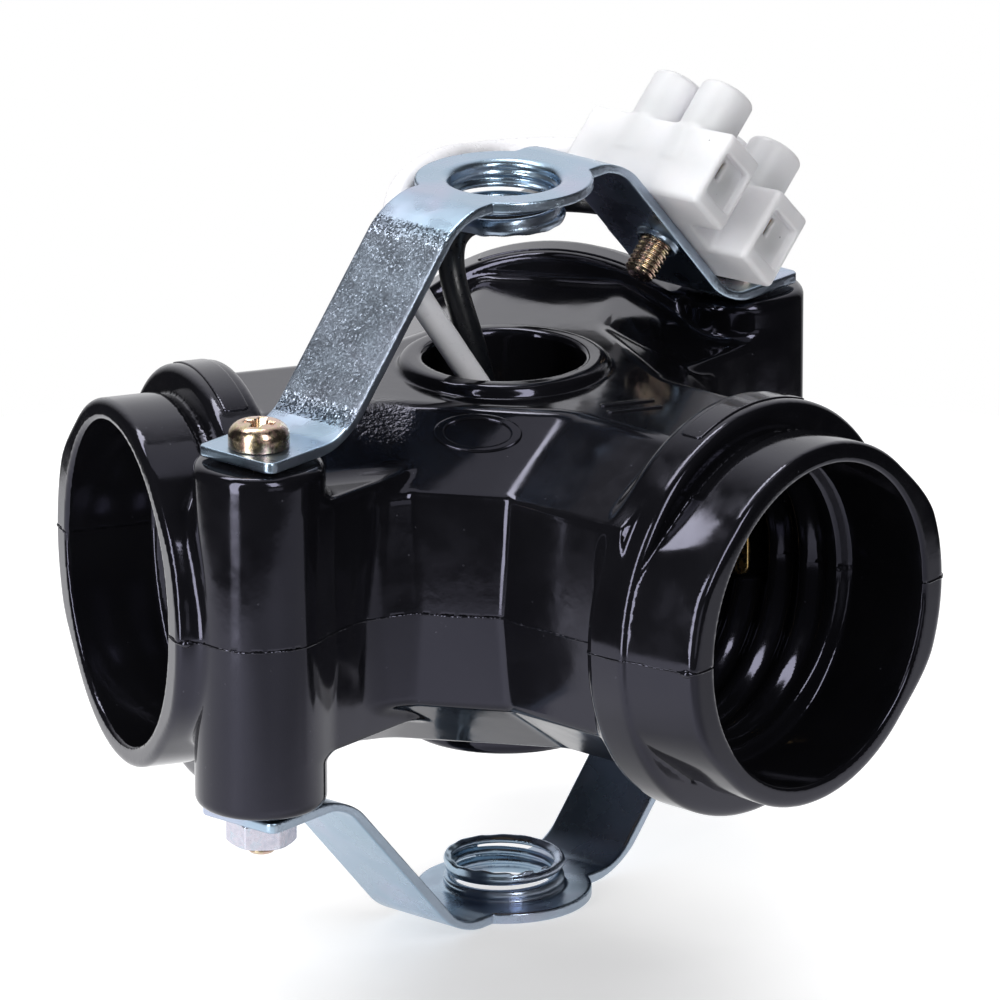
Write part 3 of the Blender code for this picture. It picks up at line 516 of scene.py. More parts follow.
def plated(name, stops, roughness, grain):
    """A small turned or pressed metal piece, with the tints of its plating and fine tool marks."""
    look = Look(name)
    look.set(Base_Color=look.colours(look.noise(0.9, 3, 0.8), *stops), Metallic=1.0)
    look.set(Roughness=look.scale(look.noise(0.5, 3), *roughness, 0.3, 0.7))
    normal = look.bump(look.noise(grain, 2, 0, (1, 1, 5)), 0.004)
    look.set(Normal=look.bump(look.noise(1.1, 2), 0.01, normal))
    return look.material


def yellow_zinc():
    stops = (
        (0.30, (0.46, 0.38, 0.20)),
        (0.46, (0.62, 0.51, 0.36)),
        (0.58, (0.64, 0.42, 0.36)),
        (0.72, (0.44, 0.41, 0.23)),
    )
    return plated("yellow_zinc", stops, (0.16, 0.30), 0.2)


def bright_zinc():
    stops = ((0.3, (0.50, 0.51, 0.60)), (0.5, (0.60, 0.58, 0.66)), (0.7, (0.50, 0.57, 0.66)))
    return plated("bright_zinc", stops, (0.22, 0.34), 0.3)


def brass_sheet():
    stops = ((0.3, (0.70, 0.46, 0.16)), (0.55, (0.80, 0.58, 0.26)), (0.75, (0.58, 0.36, 0.12)))
    return plated("brass_sheet", stops, (0.2, 0.36), 0.4)


def white_polyamide():
    look = Look("white_polyamide")
    tint = look.colours(look.noise(4, 3), (0.3, (0.80, 0.80, 0.84)), (0.7, (0.85, 0.835, 0.865)))
    look.set(Base_Color=look.blend(look.specks(2.3, 0.12), tint, (0.35, 0.34, 0.36)))
    look.set(Roughness=look.scale(look.noise(0.8, 3), 0.34, 0.48, 0.3, 0.7))
    look.set(Subsurface_Weight=0.8, Subsurface_Radius=(1, 0.95, 0.95), Subsurface_Scale=4 * MM)
    normal = look.bump(look.noise(2.2, 2), 0.02)
    look.set(Normal=look.bump(look.noise(0.3, 2), 0.003, normal))
    return look.material


def fibre_board():
    look = Look("fibre_board")
    fibres = look.noise(0.5, 5, 0.5, (1, 0.2, 1))
    look.set(Base_Color=look.colours(fibres, (0.3, (0.16, 0.07, 0.03)), (0.7, (0.34, 0.18, 0.08))))
    look.set(Roughness=look.scale(fibres, 0.5, 0.75), Normal=look.bump(fibres, 0.03))
    return look.material


def insulation(name, dark, light):
    look = Look(name)
    look.set(Base_Color=look.colours(look.noise(3, 3), (0.3, dark), (0.7, light)))
    look.set(Roughness=look.scale(look.noise(0.6, 3), 0.26, 0.42, 0.3, 0.7))
    # The strands inside show as a faint ripple.
    normal = look.bump(look.noise(2.5, 1), 0.008)
    look.set(Normal=look.bump(look.noise(0.3, 2), 0.003, normal))
    return look.material


def pale_floor():
    """A white page that glows with painted light, which fades in front of the object, and with a painted
    shadow just before it.
    """
    look = Look("pale_floor")
    forward = look.add("VectorMath", {0: look.places, 1: FLOOR_FORWARD}, operation="DOT_PRODUCT")
    page = look.scale(forward.outputs["Value"], FLOOR_GLOW, FLOOR_FRONT_GLOW, *FLOOR_FADE)
    # Painted shadow: the glow dims round a spot just before the object, with a ragged edge.
    ragged = look.math("MULTIPLY", look.noise(20, 3), 0.006)
    away = look.math("ADD", look.away_from(FLOOR_PAINTED_SHADOW_SPOT), ragged)
    shade = look.scale(away, 0.45, 1, *PAINTED_SHADOW_FADE)
    look.set(Base_Color=(0.45, 0.45, 0.455, 1), Roughness=look.scale(look.noise(8), 0.55, 0.65))
    look.set(Emission_Color=(1, 1, 1, 1), Emission_Strength=look.math("MULTIPLY", page, shade))
    return look.material


# Housing ------------------------


def socket_axes(x, y):
    """(across, along) for each socket: along its axis, out of its mouth, and sideways."""
    for turn in SOCKET_TURNS.values():
        c, s = math.cos(math.radians(turn)), math.sin(math.radians(turn))
        yield c * x + s * y, c * y - s * x


def panel_reaches(x, y):
    for azimuth in PANEL_AZIMUTHS:
        yield math.cos(math.radians(azimuth)) * x + math.sin(math.radians(azimuth)) * y


def hub_and_arms(x, y, h, crease, roof):
    """The walls and the roof slopes, without the roof."""
    hub = h - 30
    for reach in panel_reaches(x, y):
        wall = beyond_line(reach, h, (WALL_PANEL_REACH, 0), (CREASE_PANEL_REACH, crease))
        slope = beyond_line(reach, h, (CREASE_PANEL_REACH, crease), (ROOF_PANEL_REACH, roof))
        hub = np.maximum(hub, meet(wall, slope, 0.4))
    body = hub
    for _, along in socket_axes(x, y):
        body = np.maximum(body, along - 20)
    for across, along in socket_axes(x, y):
        side = np.abs(across)
        wall = beyond_line(side, h, (WALL_HALF_WIDTH, 0), (CREASE_HALF_WIDTH, crease))
        slope = beyond_line(side, h, (CREASE_HALF_WIDTH, crease), (ROOF_HALF_WIDTH, roof))
        arm = np.maximum(meet(wall, slope, 0.4), between(along, 2, 27.5))
        body = join(body, arm, 0.22)
    return body


def barrel(across, along, h):
    """A socket's round outside: its shoulder ring, its tube, and the cheeks beside the parting plane."""
    radius = np.hypot(across, h)
    ring = meet(radius - RING_RADIUS, between(along, *RING_REACH), 0.8)
    groove = 0.35 * (smooth_step(along, 30.0, 30.3) - smooth_step(along, 31.1, 31.5))
    tube = meet(radius - BARREL_RADIUS + groove, between(along, 27.0, MOUTH_REACH), 0.6)
    t = (along - CHEEK_REACH[0]) / (CHEEK_REACH[1] - CHEEK_REACH[0])
    cheek_radius = CHEEK_RADII[0] + (CHEEK_RADII[1] - CHEEK_RADII[0]) * np.clip(t, 0, 1)
    tangent = np.arcsin(CHEEK_HALF_HEIGHT / cheek_radius) + np.arccos(BARREL_RADIUS / cheek_radius)
    line = np.abs(across) * np.cos(tangent) + np.abs(h) * np.sin(tangent) - BARREL_RADIUS
    cheek = meet(radius - cheek_radius, line, 1.0)
    cheek = np.maximum(cheek, np.abs(h) - BARREL_RADIUS * np.sin(tangent))
    cheek = meet(cheek, between(along, CHEEK_REACH[0] - 0.4, MOUTH_REACH), 0.6)
    return np.minimum(np.minimum(ring, tube), cheek)


def bore(across, along, h):
    """A socket's threaded inside."""
    radius = np.hypot(across, h)
    angle = np.arctan2(across, h)
    entry = smooth_step(along, ENTRY_REACH - 0.8, ENTRY_REACH)
    thread = smooth_step(along, FLOOR_REACH + 0.6, FLOOR_REACH + 2.4) * (1 - smooth_step(along, 26.0, 27.6))
    wave = helix(angle, along, THREAD_PITCH)
    wall = BORE_RADIUS + (ENTRY_RADIUS - BORE_RADIUS) * entry - THREAD_DEPTH * thread * wave
    return meet(radius - wall, FLOOR_REACH - along, 0.5)


def hub_cavity(x, y, z):
    room = between(z, -7.0, 9.0)
    for _, along in socket_axes(x, y):
        room = np.maximum(room, along - 9.8)
    for reach in panel_reaches(x, y):
        room = np.maximum(room, reach - 19.3)
    return room


def housing_form(x, y, h, side):
    """The outer form of one half, without its hollows."""
    roof = ROOF_HEIGHT[side]
    body = meet(hub_and_arms(x, y, h, CREASE_HEIGHT[side], roof), h - roof, 0.4)
    for across, along in socket_axes(x, y):
        body = join(body, barrel(across, along, h), 0.8)
    for column_x in (-COLUMN_X, COLUMN_X):
        to_column = np.abs(x - column_x / 2) - abs(column_x) / 2
        web = meet(np.abs(y) - WEB_HALF_WIDTH, h - WEB_HEIGHT[side], 0.5)
        body = join(body, np.maximum(web, to_column), 0.8)
        column = meet(np.hypot(x - column_x, y) - COLUMN_RADIUS, h - COLUMN_HEIGHT, 0.9)
        body = join(body, column, 0.9)
    boss = meet(np.hypot(x, y) - BOSS_RADIUS, h - BOSS_HEIGHT, 0.9)
    return join(body, boss, 0.35)


def housing_field(side):
    def field(x, y, z):
        h = side * z
        centre = np.hypot(x, y)
        body = cut(housing_form(x, y, h, side), hub_cavity(x, y, z), 0.3)
        if side < 0:
            body = cut(body, np.maximum(centre - 9.4, h - 12.5), 0.2)
        body = cut(body, np.maximum(centre - BOSS_HOLE_RADIUS, -h), 0.6)
        for across, along in socket_axes(x, y):
            body = cut(body, bore(across, along, h), 0.35)
            through = between(along, 7.8, 13.2)
            window = np.maximum(np.abs(across) - 3.3, between(z, -9.2, 4.2))
            slot = np.maximum(between(across, -12.95, -10.3), np.abs(z) - 3.0)
            body = cut(body, np.maximum(np.minimum(window, slot), through), 0.2)
            # The side contact bends back into a pocket in the thread.
            pocket = box(across, along, z, (-13.5, -10.3), (12.0, 20.6), (-2.9, 2.9), 0.3)
            body = cut(body, pocket, 0.2)
        for column_x in (-COLUMN_X, COLUMN_X):
            body = cut(body, np.hypot(x - column_x, y) - SCREW_HOLE_RADIUS, 0.15)
        return body

    return field


def flash_field(x, y, z):
    """The ragged fin that the mould's halves leave all along the parting plane."""
    edge = housing_form(x, y, np.zeros_like(x), 1)
    ragged = 0.10 + 0.04 * np.sin(2.3 * x + 1.1 * y) * np.sin(1.7 * y - 0.9 * x + 2)
    ragged += 0.03 * np.sin(6.1 * x - 3.7 * y) * np.sin(5.3 * y + 4.1 * x)
    level = np.abs(z - 0.05 * np.sin(0.8 * x + 0.5 * y) * np.sin(0.6 * y - 0.4 * x))
    fin = meet(edge - ragged, level - 0.1, 0.06)
    fin = np.maximum(fin, -edge - 0.5)
    for across, along in socket_axes(x, y):
        nub = np.sqrt((np.abs(across) - 17.45) ** 2 + (along - 36.0) ** 2 + (1.4 * z) ** 2) - 0.6
        fin = join(fin, nub, 0.2)
        fin = cut(fin, np.maximum(np.abs(across) - ENTRY_RADIUS - 0.4, FLOOR_REACH - along), 0.05)
    return fin


def raised(outline, height):
    """A plain raised mark, with its foot sunk in the wall."""
    return lambda x, y, z: meet(outline(x, y), between(z, -0.5, height), 0.08)


def oval_rim(x, y):
    across = np.hypot(x / 3.5, y / 1.95)
    return np.abs(across - 1) * 2.2 - 0.32


def two_bars(x, y):
    return meet(np.abs(x) - 2.6, np.abs(np.abs(y) - 0.95) - 0.34, 0.25)


def ring_mark(x, y, z):
    """A low pad along the top of a shoulder ring."""
    radius = np.hypot(x, z)
    sides = meet(19.0 * np.abs(np.arctan2(x, z)) - 7.6, between(y, 26.6, 29.0), 0.5)
    return meet(sides, between(radius, 18.5, RING_RADIUS + 0.12), 0.08)


def plain_marks(material):
    """Plain shapes where such a housing carries its raised marks: a panel, an arm and the three rings."""
    panel = math.radians(210)
    tilt = math.atan2(ROOF_HEIGHT[1] - CREASE_HEIGHT[1], CREASE_PANEL_REACH - ROOF_PANEL_REACH)
    on_panel = Matrix.Rotation(panel, 4, "Z") @ Matrix.Translation((14.86, 0.34, 14.89))
    on_panel = on_panel @ Matrix.Rotation(tilt, 4, "Y") @ turned(90)
    on_arm = Matrix.Translation((-1.6, -16.2, ROOF_HEIGHT[1])) @ turned(-30)
    marks = [
        ("panel_mark", raised(oval_rim, 0.16), 4.2, on_panel),
        ("arm_mark", raised(two_bars, 0.14), 3.2, on_arm),
    ]
    for name, field, size, place in marks:
        low, high = (-size, -size, -0.7), (size, size, 0.4)
        solid(name, field, low, high, 0.1, material, place=place)
    low, high = (-9, 25.8, 16.4), (9, 29.8, 19.4)
    for side, turn in SOCKET_TURNS.items():
        place = turned(turn)
        solid(f"{side}_ring_mark", ring_mark, low, high, 0.12, material, place=place)


def one_half(whole, side):
    """The field of what lies on one side of the parting plane."""
    return lambda x, y, z: np.maximum(whole(x, y, z), SEAM_GAP - side * z)


def housings(material):
    step = 0.28
    for side, name in ((1, "upper_housing"), (-1, "lower_housing")):
        low = (-41.4, -37.6, -0.6 if side > 0 else -20.0)
        high = (41.4, 34.6, 20.0 if side > 0 else 0.6)
        whole = housing_field(side)
        points, quads = skin(one_half(whole, side), low, high, step)
        points = flat_side(points, whole, side * SEAM_GAP, step)
        mesh_piece(name, points, quads, material, [name], sharp=60)
    low, high = (-41.4, -37.6, -0.9), (41.4, 34.6, 0.9)
    solid("parting_flash", flash_field, low, high, 0.5 * step, material)


# Brackets ------------------------


def bracket_field(side):
    def field(x, y, z):
        h = side * z
        far = np.abs(x)
        slope = beyond_line(far, h, (LOWER_BEND_X, TAB_FACE), (UPPER_BEND_X, PLATE_FACE))
        outer = join(meet(h - PLATE_FACE, slope, 2.5), h - TAB_FACE, 1.5)
        inner = join(meet(h - PLATE_FACE + STEEL, slope + STEEL, 1.5), h - TAB_FACE + STEEL, 2.5)
        edge = 0.16
        strap = cut(outer, inner, edge)
        strap = meet(strap, meet(np.abs(y) - BRACKET_HALF_WIDTH, far - TAB_END, 0.9), edge)
        centre = np.hypot(x, y)
        plate = meet(centre - PLATE_RADIUS, between(h, PLATE_FACE - STEEL, PLATE_FACE), edge)
        angle = np.arctan2(y, x)
        rings = 0.13 * np.cos(2 * math.pi * (h - COLLAR_RIM) / 1.75 - 2.2) * smooth_step(h, 30.2, 30.9)
        rim = COLLAR_RIM + 0.09 * np.sin(5 * angle) * np.sin(11 * angle + 1)
        collar = meet(centre - COLLAR_RADIUS + 0.12 - rings, between(h, rim, PLATE_FACE - 0.4), 0.22)
        body = join(np.minimum(strap, plate), collar, 0.5)
        flare = smooth_step(h, 32.4, 33.5)
        groove = COLLAR_THREAD_DEPTH * helix(side * angle, h, COLLAR_THREAD_PITCH) * (1 - flare)
        body = cut(body, centre - COLLAR_BORE_RADIUS + groove, 0.9)
        body = cut(body, np.hypot(far - COLUMN_X, y) - SCREW_HOLE_RADIUS, edge)
        if side > 0:
            u, v, w = local(BLOCK_AXES, x, y, z)
            around = np.hypot(u, v)
            burr = meet(np.abs(around - 1.85) - 0.2, between(w, -1.6, -0.5), 0.15)
            body = join(body, burr, 0.2)
            body = cut(body, np.maximum(around - 1.62, np.abs(w) - 3), 0.12)
        return body

    return field


def brackets(material):
    step = 0.16
    for side, name in ((1, "upper_bracket"), (-1, "lower_bracket")):
        low = (-37.2, -8.6, 15.8 if side > 0 else -34.8)
        high = (37.2, 8.6, 34.8 if side > 0 else -15.8)
        solid(name, bracket_field(side), low, high, step, material, [name])


# The leads ------------------------


def terminal_entry(x):
    """Two points on a pole's axis: outside its far wire entry, and where the insulation ends in it."""
    stop = TUBE_ENDS[1] + 0.3
    return [BLOCK_AXES @ Vector((x, y, TUBE_HEIGHT)) for y in (stop + 2.4, stop)]


WHITE_ROUTE = [
    (-6.22, -3.59, 5.05),
    (-5.4, -3.12, 6.55),
    (-4.75, -2.7, 8.8),
    (-4.4, -2.5, 11.5),
    (-4.5, -2.3, 14.5),
    (-5.7, -0.4, 17.6),
    (-7.6, 1.0, 21.6),
    (-9.0, 3.0, 25.0),
    (-8.5, 4.6, 28.1),
    (-6.9, 7.1, 30.6),
    (-4.0, 8.9, 32.2),
    (-0.4, 9.6, 33.0),
    (3.4, 9.8, 33.1),
    (6.8, 11.1, 32.3),
    (9.8, 13.3, 31.1),
    (12.8, 15.4, 30.0),
    (16.3, 16.2, 29.3),
    (19.2, 14.5, 29.2),
    (20.4, 11.6, 29.6),
    *terminal_entry(-POLE_X),
]
BLACK_ROUTE = [
    (0.0, 0.0, -5.1),
    (-0.1, 0.0, -2.5),
    (-0.5, 0.1, 2.0),
    (-1.1, 0.2, 7.0),
    (-1.8, 0.3, 12.0),
    (-2.7, 0.6, 16.8),
    (-3.9, 1.0, 20.8),
    (-4.5, 2.0, 24.3),
    (-3.4, 3.6, 27.2),
    (-0.6, 5.0, 28.5),
    (3.0, 5.3, 28.6),
    (7.1, 4.9, 27.9),
    (10.8, 5.2, 27.1),
    (13.9, 7.1, 26.3),
    (16.0, 9.9, 25.4),
    (18.1, 12.9, 24.6),
    (20.8, 15.1, 23.9),
    (24.1, 14.9, 23.4),
    (26.3, 12.1, 23.3),
    *terminal_entry(POLE_X),
]


def smooth_path(points, steps=10):
    """Points along a smooth curve that the given ones guide."""
    points = [Vector(point) for point in points]
    ends = [2 * points[0] - points[1], *points, 2 * points[-1] - points[-2]]
    path = []
    for before, start, stop, after in zip(ends, ends[1:], ends[2:], ends[3:]):
        for step in range(steps):
            t = step / steps
            blend = (1 - t) ** 3 * before + (3 * t**3 - 6 * t**2 + 4) * start
            blend += (1 + 3 * t + 3 * t**2 - 3 * t**3) * stop + t**3 * after
            path.append(blend / 6)
    path.append(points[-1])
    return path


def lead(name, route, material):
    path = [TO_ROW @ point for point in smooth_path(route)]
    curve = bpy.data.curves.new(name, "CURVE")
    curve.dimensions = "3D"
    curve.bevel_depth = LEAD_RADIUS * MM
    curve.bevel_resolution = 5
    curve.use_fill_caps = True
    spline = curve.splines.new("POLY")
    spline.points.add(len(path) - 1)
    for point, place in zip(spline.points, path):
        point.co = (*place, 1)
    wire = place_mesh(name, curve, material, ROOT, [name])


# Fasteners ------------------------


def thread(radius, x, y, z, crest, depth, pitch):
    """A bolt's outside: a helical groove cut into a round rod."""
    return radius - crest + depth * helix(np.arctan2(y, x), z, pitch)


def cross_recess(x, y, depth, turn, reach=1.5, deepest=1.5):
    """A four-armed driver recess, open at the top, where depth is 0."""
    c, s = math.cos(math.radians(turn)), math.sin(math.radians(turn))
    u, v = np.abs(c * x + s * y), np.abs(c * y - s * x)
    taper = 0.4 * depth
    arms = np.minimum(
        meet(u - reach + 1.6 * taper, v - 0.46 + taper / 3, 0.08),
        meet(v - reach + 1.6 * taper, u - 0.46 + taper / 3, 0.08),
    )
    middle = u + v - 1.15 + taper
    return meet(join(arms, middle, 0.1), depth - deepest, 0.1)


def pan_screw_field(seat, tip, head_radius, head_height, turn):
    def field(x, y, z):
        radius = np.hypot(x, y)
        top = z - seat - head_height + 0.035 * radius**2
        head = meet(meet(radius - head_radius, top, 0.36 * head_radius), seat - z, 0.15)
        head = cut(head, cross_recess(x, y, seat + head_height - z, turn), 0.07)
        shank = thread(radius, x, y, z, M3_RADIUS, M3_THREAD_DEPTH, M3_PITCH)
        point = radius - M3_RADIUS + 0.45 - (z - tip)
        shank = np.maximum(np.maximum(shank, point), between(z, tip, seat + 0.2))
        return join(head, shank, 0.1)

    return field


def clamp_fasteners(gold, zinc):
    step = 0.091
    screw = pan_screw_field(CLAMP_SEAT, CLAMP_TIP, CLAMP_HEAD_RADIUS, CLAMP_HEAD_HEIGHT, 24)
    size = CLAMP_HEAD_RADIUS + 0.3
    low, high = (-size, -size, CLAMP_TIP - 0.3), (size, size, CLAMP_SEAT + CLAMP_HEAD_HEIGHT + 0.3)
    top = -TAB_FACE - 0.02
    size = NUT_CORNER_RADIUS + 0.3
    nut_low, nut_high = (-size, -size, top - NUT_HEIGHT - 0.3), (size, size, top + 0.3)
    for side, x, turn in (("left", -COLUMN_X, 0), ("right", COLUMN_X, 131)):
        place = Matrix.Translation((x, 0, 0)) @ turned(turn)
        name = f"clamp_screw_{side}"
        solid(name, screw, low, high, step, gold, [name], place=place)
        name = f"clamp_nut_{side}"
        solid(name, nut_field, nut_low, nut_high, step, zinc, [name], place=place)


def nut_field(x, y, z):
    """A hexagon nut under the lower bracket's tab, chamfered top and bottom."""
    top = -TAB_FACE - 0.02
    middle, half = top - NUT_HEIGHT / 2, NUT_HEIGHT / 2
    sides = -9.0
    for corner in (13.4, 73.4, 133.4):
        angle = math.radians(corner + 30)
        sides = meet(sides, np.abs(math.cos(angle) * x + math.sin(angle) * y) - NUT_HALF_WIDTH, 0.1)
    radius = np.hypot(x, y)
    level = np.abs(z - middle)
    body = meet(sides, level - half, 0.06)
    chamfer = (radius - 2.85) * 0.5 + (level - half) * 0.866
    body = meet(body, chamfer, 0.08)
    hole = thread(radius, x, y, z, NUT_BORE_RADIUS, 0.27, M3_PITCH)
    hole = np.minimum(hole, (radius - 1.75 - level + half) * 0.707)
    return cut(body, hole, 0.04)


# Terminal block ------------------------


def block_field(x, y, z):
    first, last = BLOCK_ENDS
    side = np.abs(x) - POLE_X
    body = box(x, y, z, (-2.4, 2.4), (-BRIDGE_HALF_LENGTH, BRIDGE_HALF_LENGTH), (0.05, BRIDGE_HEIGHT), 0.4)
    lean = 0.012 * (z - BLOCK_HEIGHT)
    walls = meet(np.abs(side) - POLE_HALF_WIDTH + lean, between(y, first, last), 0.55)
    body = join(body, meet(walls, between(z, 0.05, BLOCK_HEIGHT), 0.55), 0.4)
    radius = np.hypot(side, np.abs(y) - TOWER_Y)
    top = z - TOWER_TOP + 0.03 * radius**2
    tower = meet(meet(radius - TOWER_RADIUS, top, 0.45), TUBE_HEIGHT - z, 0.3)
    body = join(body, tower, 0.45)
    height = between(z, TUBE_HEIGHT - 2.3, TUBE_HEIGHT + 1.95)
    entry = np.maximum(meet(np.abs(side) - 1.95, height, 0.35), -between(y, first + 0.8, last - 0.8))
    body = cut(body, entry, 0.25)
    # A round way for each lead, and a narrow slot behind the near entries, which lets the brass show.
    around = np.hypot(side, z - TUBE_HEIGHT)
    body = cut(body, np.maximum(around - TUBE_RADIUS - 0.06, between(y, *TUBE_ENDS)), 0.1)
    body = cut(body, np.maximum(around - LEAD_RADIUS - 0.1, between(y, 0, last)), 0.1)
    beside = x + np.where(x > 0, -POLE_X, POLE_X)
    slot = meet(between(beside, -1.05, -0.45), between(z, TUBE_HEIGHT - 0.4, TUBE_HEIGHT + 1.5), 0.15)
    body = cut(body, np.maximum(slot, between(y, first, -4)), 0.1)
    body = cut(body, np.maximum(radius - TOWER_BORE_RADIUS, TUBE_HEIGHT - z), 0.25)
    centre = np.hypot(x, y)
    body = cut(body, centre - SCREW_HOLE_RADIUS, 0.15)
    return cut(body, np.maximum(centre - 2.45, BRIDGE_HEIGHT - z), 0.15)


def tube_field(x, y, z):
    """A brass tube along Y, with a tapped hole for each of its two screws."""
    radius = np.hypot(x, z)
    tube = meet(radius - TUBE_RADIUS, between(y, *TUBE_ENDS), 0.15)
    tube = cut(tube, radius - TUBE_BORE_RADIUS, 0.12)
    return cut(tube, np.maximum(np.hypot(x, np.abs(y) - TOWER_Y) - 1.3, -z), 0.1)


def pole_screw_field(x, y, z):
    """A slotted cheese-head screw."""
    radius = np.hypot(x, y)
    head = meet(radius - POLE_HEAD_RADIUS, between(z, POLE_SCREW_SHOULDER, POLE_SCREW_TOP), 0.2)
    slot = np.maximum(np.abs(y) - 0.22, POLE_SCREW_TOP - 0.7 - z)
    head = cut(head, slot, 0.06)
    shank = thread(radius, x, y, z, POLE_SHANK_RADIUS, 0.2, POLE_SCREW_PITCH)
    point = radius - 0.75 - (z - POLE_SCREW_TIP)
    shank = np.maximum(np.maximum(shank, point), between(z, POLE_SCREW_TIP, POLE_SCREW_SHOULDER + 0.2))
    return join(head, shank, 0.1)


def terminal_block(white, brass, gold, zinc):
    step = 0.156
    low = (-POLE_X - 2.9, BLOCK_ENDS[0] - 0.3, -0.3)
    high = (POLE_X + 2.9, BLOCK_ENDS[1] + 0.3, TOWER_TOP + 0.3)
    solid("terminal_body", block_field, low, high, step, white,
          ["terminal_body"], place=BLOCK_AXES)
    small = 0.6 * step
    for pole, x in (("neutral", -POLE_X), ("line", POLE_X)):
        name = f"terminal_tube_{pole}"
        place = BLOCK_AXES @ Matrix.Translation((x, 0, TUBE_HEIGHT))
        low, high = (-2, TUBE_ENDS[0] - 0.3, -2), (2, TUBE_ENDS[1] + 0.3, 2)
        solid(name, tube_field, low, high, small, brass, [name], place=place)
        for end, y, turn in (("open", -TOWER_Y, 30), ("lead", TOWER_Y, 75)):
            name = f"pole_screw_{pole}_{end}"
            place = BLOCK_AXES @ Matrix.Translation((x, y, 0)) @ turned(turn)
            low, high = (-1.9, -1.9, POLE_SCREW_TIP - 0.2), (1.9, 1.9, POLE_SCREW_TOP + 0.2)
            solid(name, pole_screw_field, low, high, small, zinc,
                  [name], name + "_body", place)
    field = pan_screw_field(BRIDGE_HEIGHT + 0.05, BLOCK_SCREW_TIP, 2.0, 1.8, 10)
    low, high = (-2.3, -2.3, BLOCK_SCREW_TIP - 0.3), (2.3, 2.3, BRIDGE_HEIGHT + 2.2)
    solid("block_screw", field, low, high, small, gold,
          ["block_screw"], place=BLOCK_AXES)


# Contacts ------------------------


def rivet_field(low, high):
    """A rivet along Z with a low domed head at each end."""
    def field(x, y, z):
        radius = np.hypot(x, y)
        middle = (low + high) / 2
        level = np.abs(z - middle)
        half = (high - low) / 2
        head = meet(radius - RIVET_HEAD_RADIUS, np.hypot(radius, level - half + 3.2) - 3.2, 0.15)
        head = meet(head, half - RIVET_HEAD_HEIGHT - level, 0.05)
        return np.minimum(head, np.maximum(radius - RIVET_RADIUS, level - half + 0.2))

    return field


def centre_field(x, y, z):
    corners = [(6.0, CENTRE_FOOT), (8.7, CENTRE_FOOT), (12.4, -2.4), (13.7, 0.8), (12.9, 2.8)]
    strip = bent_strip(y, z, x, corners, CENTRE_HALF_WIDTH)
    # The tongue narrows to a rounded nose, and a rib stiffens it.
    nose = np.hypot(np.maximum(np.abs(x) - 0.9, 0), np.maximum(z + 0.4, 0)) - 3.2
    rib = np.hypot(x, to_segment(y, z, (9.4, -7.2), (12.0, -3.1)) + 0.25) - 0.6
    strip = join(np.maximum(strip, nose), rib, 0.3)
    return cut(strip, np.hypot(x, y - RIVET_Y) - RIVET_RADIUS - 0.15, 0.05)


def side_field(x, y, z):
    corners = [(SIDE_X, 5.9), (SIDE_X, 13.5), (SIDE_X + 0.6, 17.0), (SIDE_X + 0.15, 19.2)]
    strip = bent_strip(x, y, z, corners, SIDE_HALF_HEIGHT)
    strip = meet(strip, np.hypot(np.maximum(np.abs(z) - 1.3, 0), np.maximum(y - 18.2, 0)) - 1.0, 0.1)
    return cut(strip, np.hypot(z, y - RIVET_Y) - RIVET_RADIUS - 0.15, 0.05)


def plate_field(z, low, high, outline, holes):
    plate = meet(outline, between(z, low, high), 0.1)
    for hole in holes:
        plate = cut(plate, hole, 0.06)
    return plate


def rivet_holes(x, y, radius):
    return [np.hypot(across, along - RIVET_Y) - radius for across, along in socket_axes(x, y)]


def carrier_field(x, y, z):
    low, high = CARRIER_HEIGHTS
    centre = np.hypot(x, y)
    holes = rivet_holes(x, y, RIVET_RADIUS + 0.15)
    holes += [np.maximum(hole - 1.0, z - low - 1.1) for hole in holes]
    return plate_field(z, low, high, centre - CARRIER_RADIUS, holes)


def line_plate_field(x, y, z):
    holes = rivet_holes(x, y, RIVET_RADIUS + 0.15)
    return plate_field(z, *LINE_PLATE_HEIGHTS, np.hypot(x, y) - LINE_PLATE_RADIUS, holes)


def neutral_plate_field(x, y, z):
    outline = -99.0
    plate = 99.0
    for across, along in socket_axes(x, y):
        outline = np.maximum(outline, along - NEUTRAL_PLATE_REACH)
        opposite = -along - NEUTRAL_CORNER_REACH
        outline = np.maximum(outline, opposite)
        middle = np.maximum(z - NEUTRAL_PLATE_HEIGHTS[1] + 0.05, LEG_FOOT - z)
        leg = meet(np.abs(across - LEG_X) - STRIP / 2, between(along, *LEG_SPAN), 0.12)
        leg = meet(leg, middle, 0.3)
        leg = cut(leg, np.hypot(along - RIVET_Y, z) - RIVET_RADIUS - 0.15, 0.05)
        plate = np.minimum(plate, leg)
    hole = np.hypot(x, y) - NEUTRAL_HOLE_RADIUS
    return join(plate_field(z, *NEUTRAL_PLATE_HEIGHTS, outline, [hole]), plate, 0.3)


def line_lug_field(x, y, z):
    foot = LINE_PLATE_HEIGHTS[1] + 0.05
    radius = np.hypot(x, y)
    flange = meet(radius - 2.2, between(z, foot, foot + 0.5), 0.12)
    crimp = 0.25 * smooth_step(np.abs(z - foot - 2.4), 0.0, 0.9)
    sleeve = meet(radius - LUG_RADIUS + 0.25 - crimp, between(z, foot, foot + 3.6), 0.12)
    return cut(join(flange, sleeve, 0.3), np.maximum(radius - LUG_BORE_RADIUS, foot + 1.5 - z), 0.1)


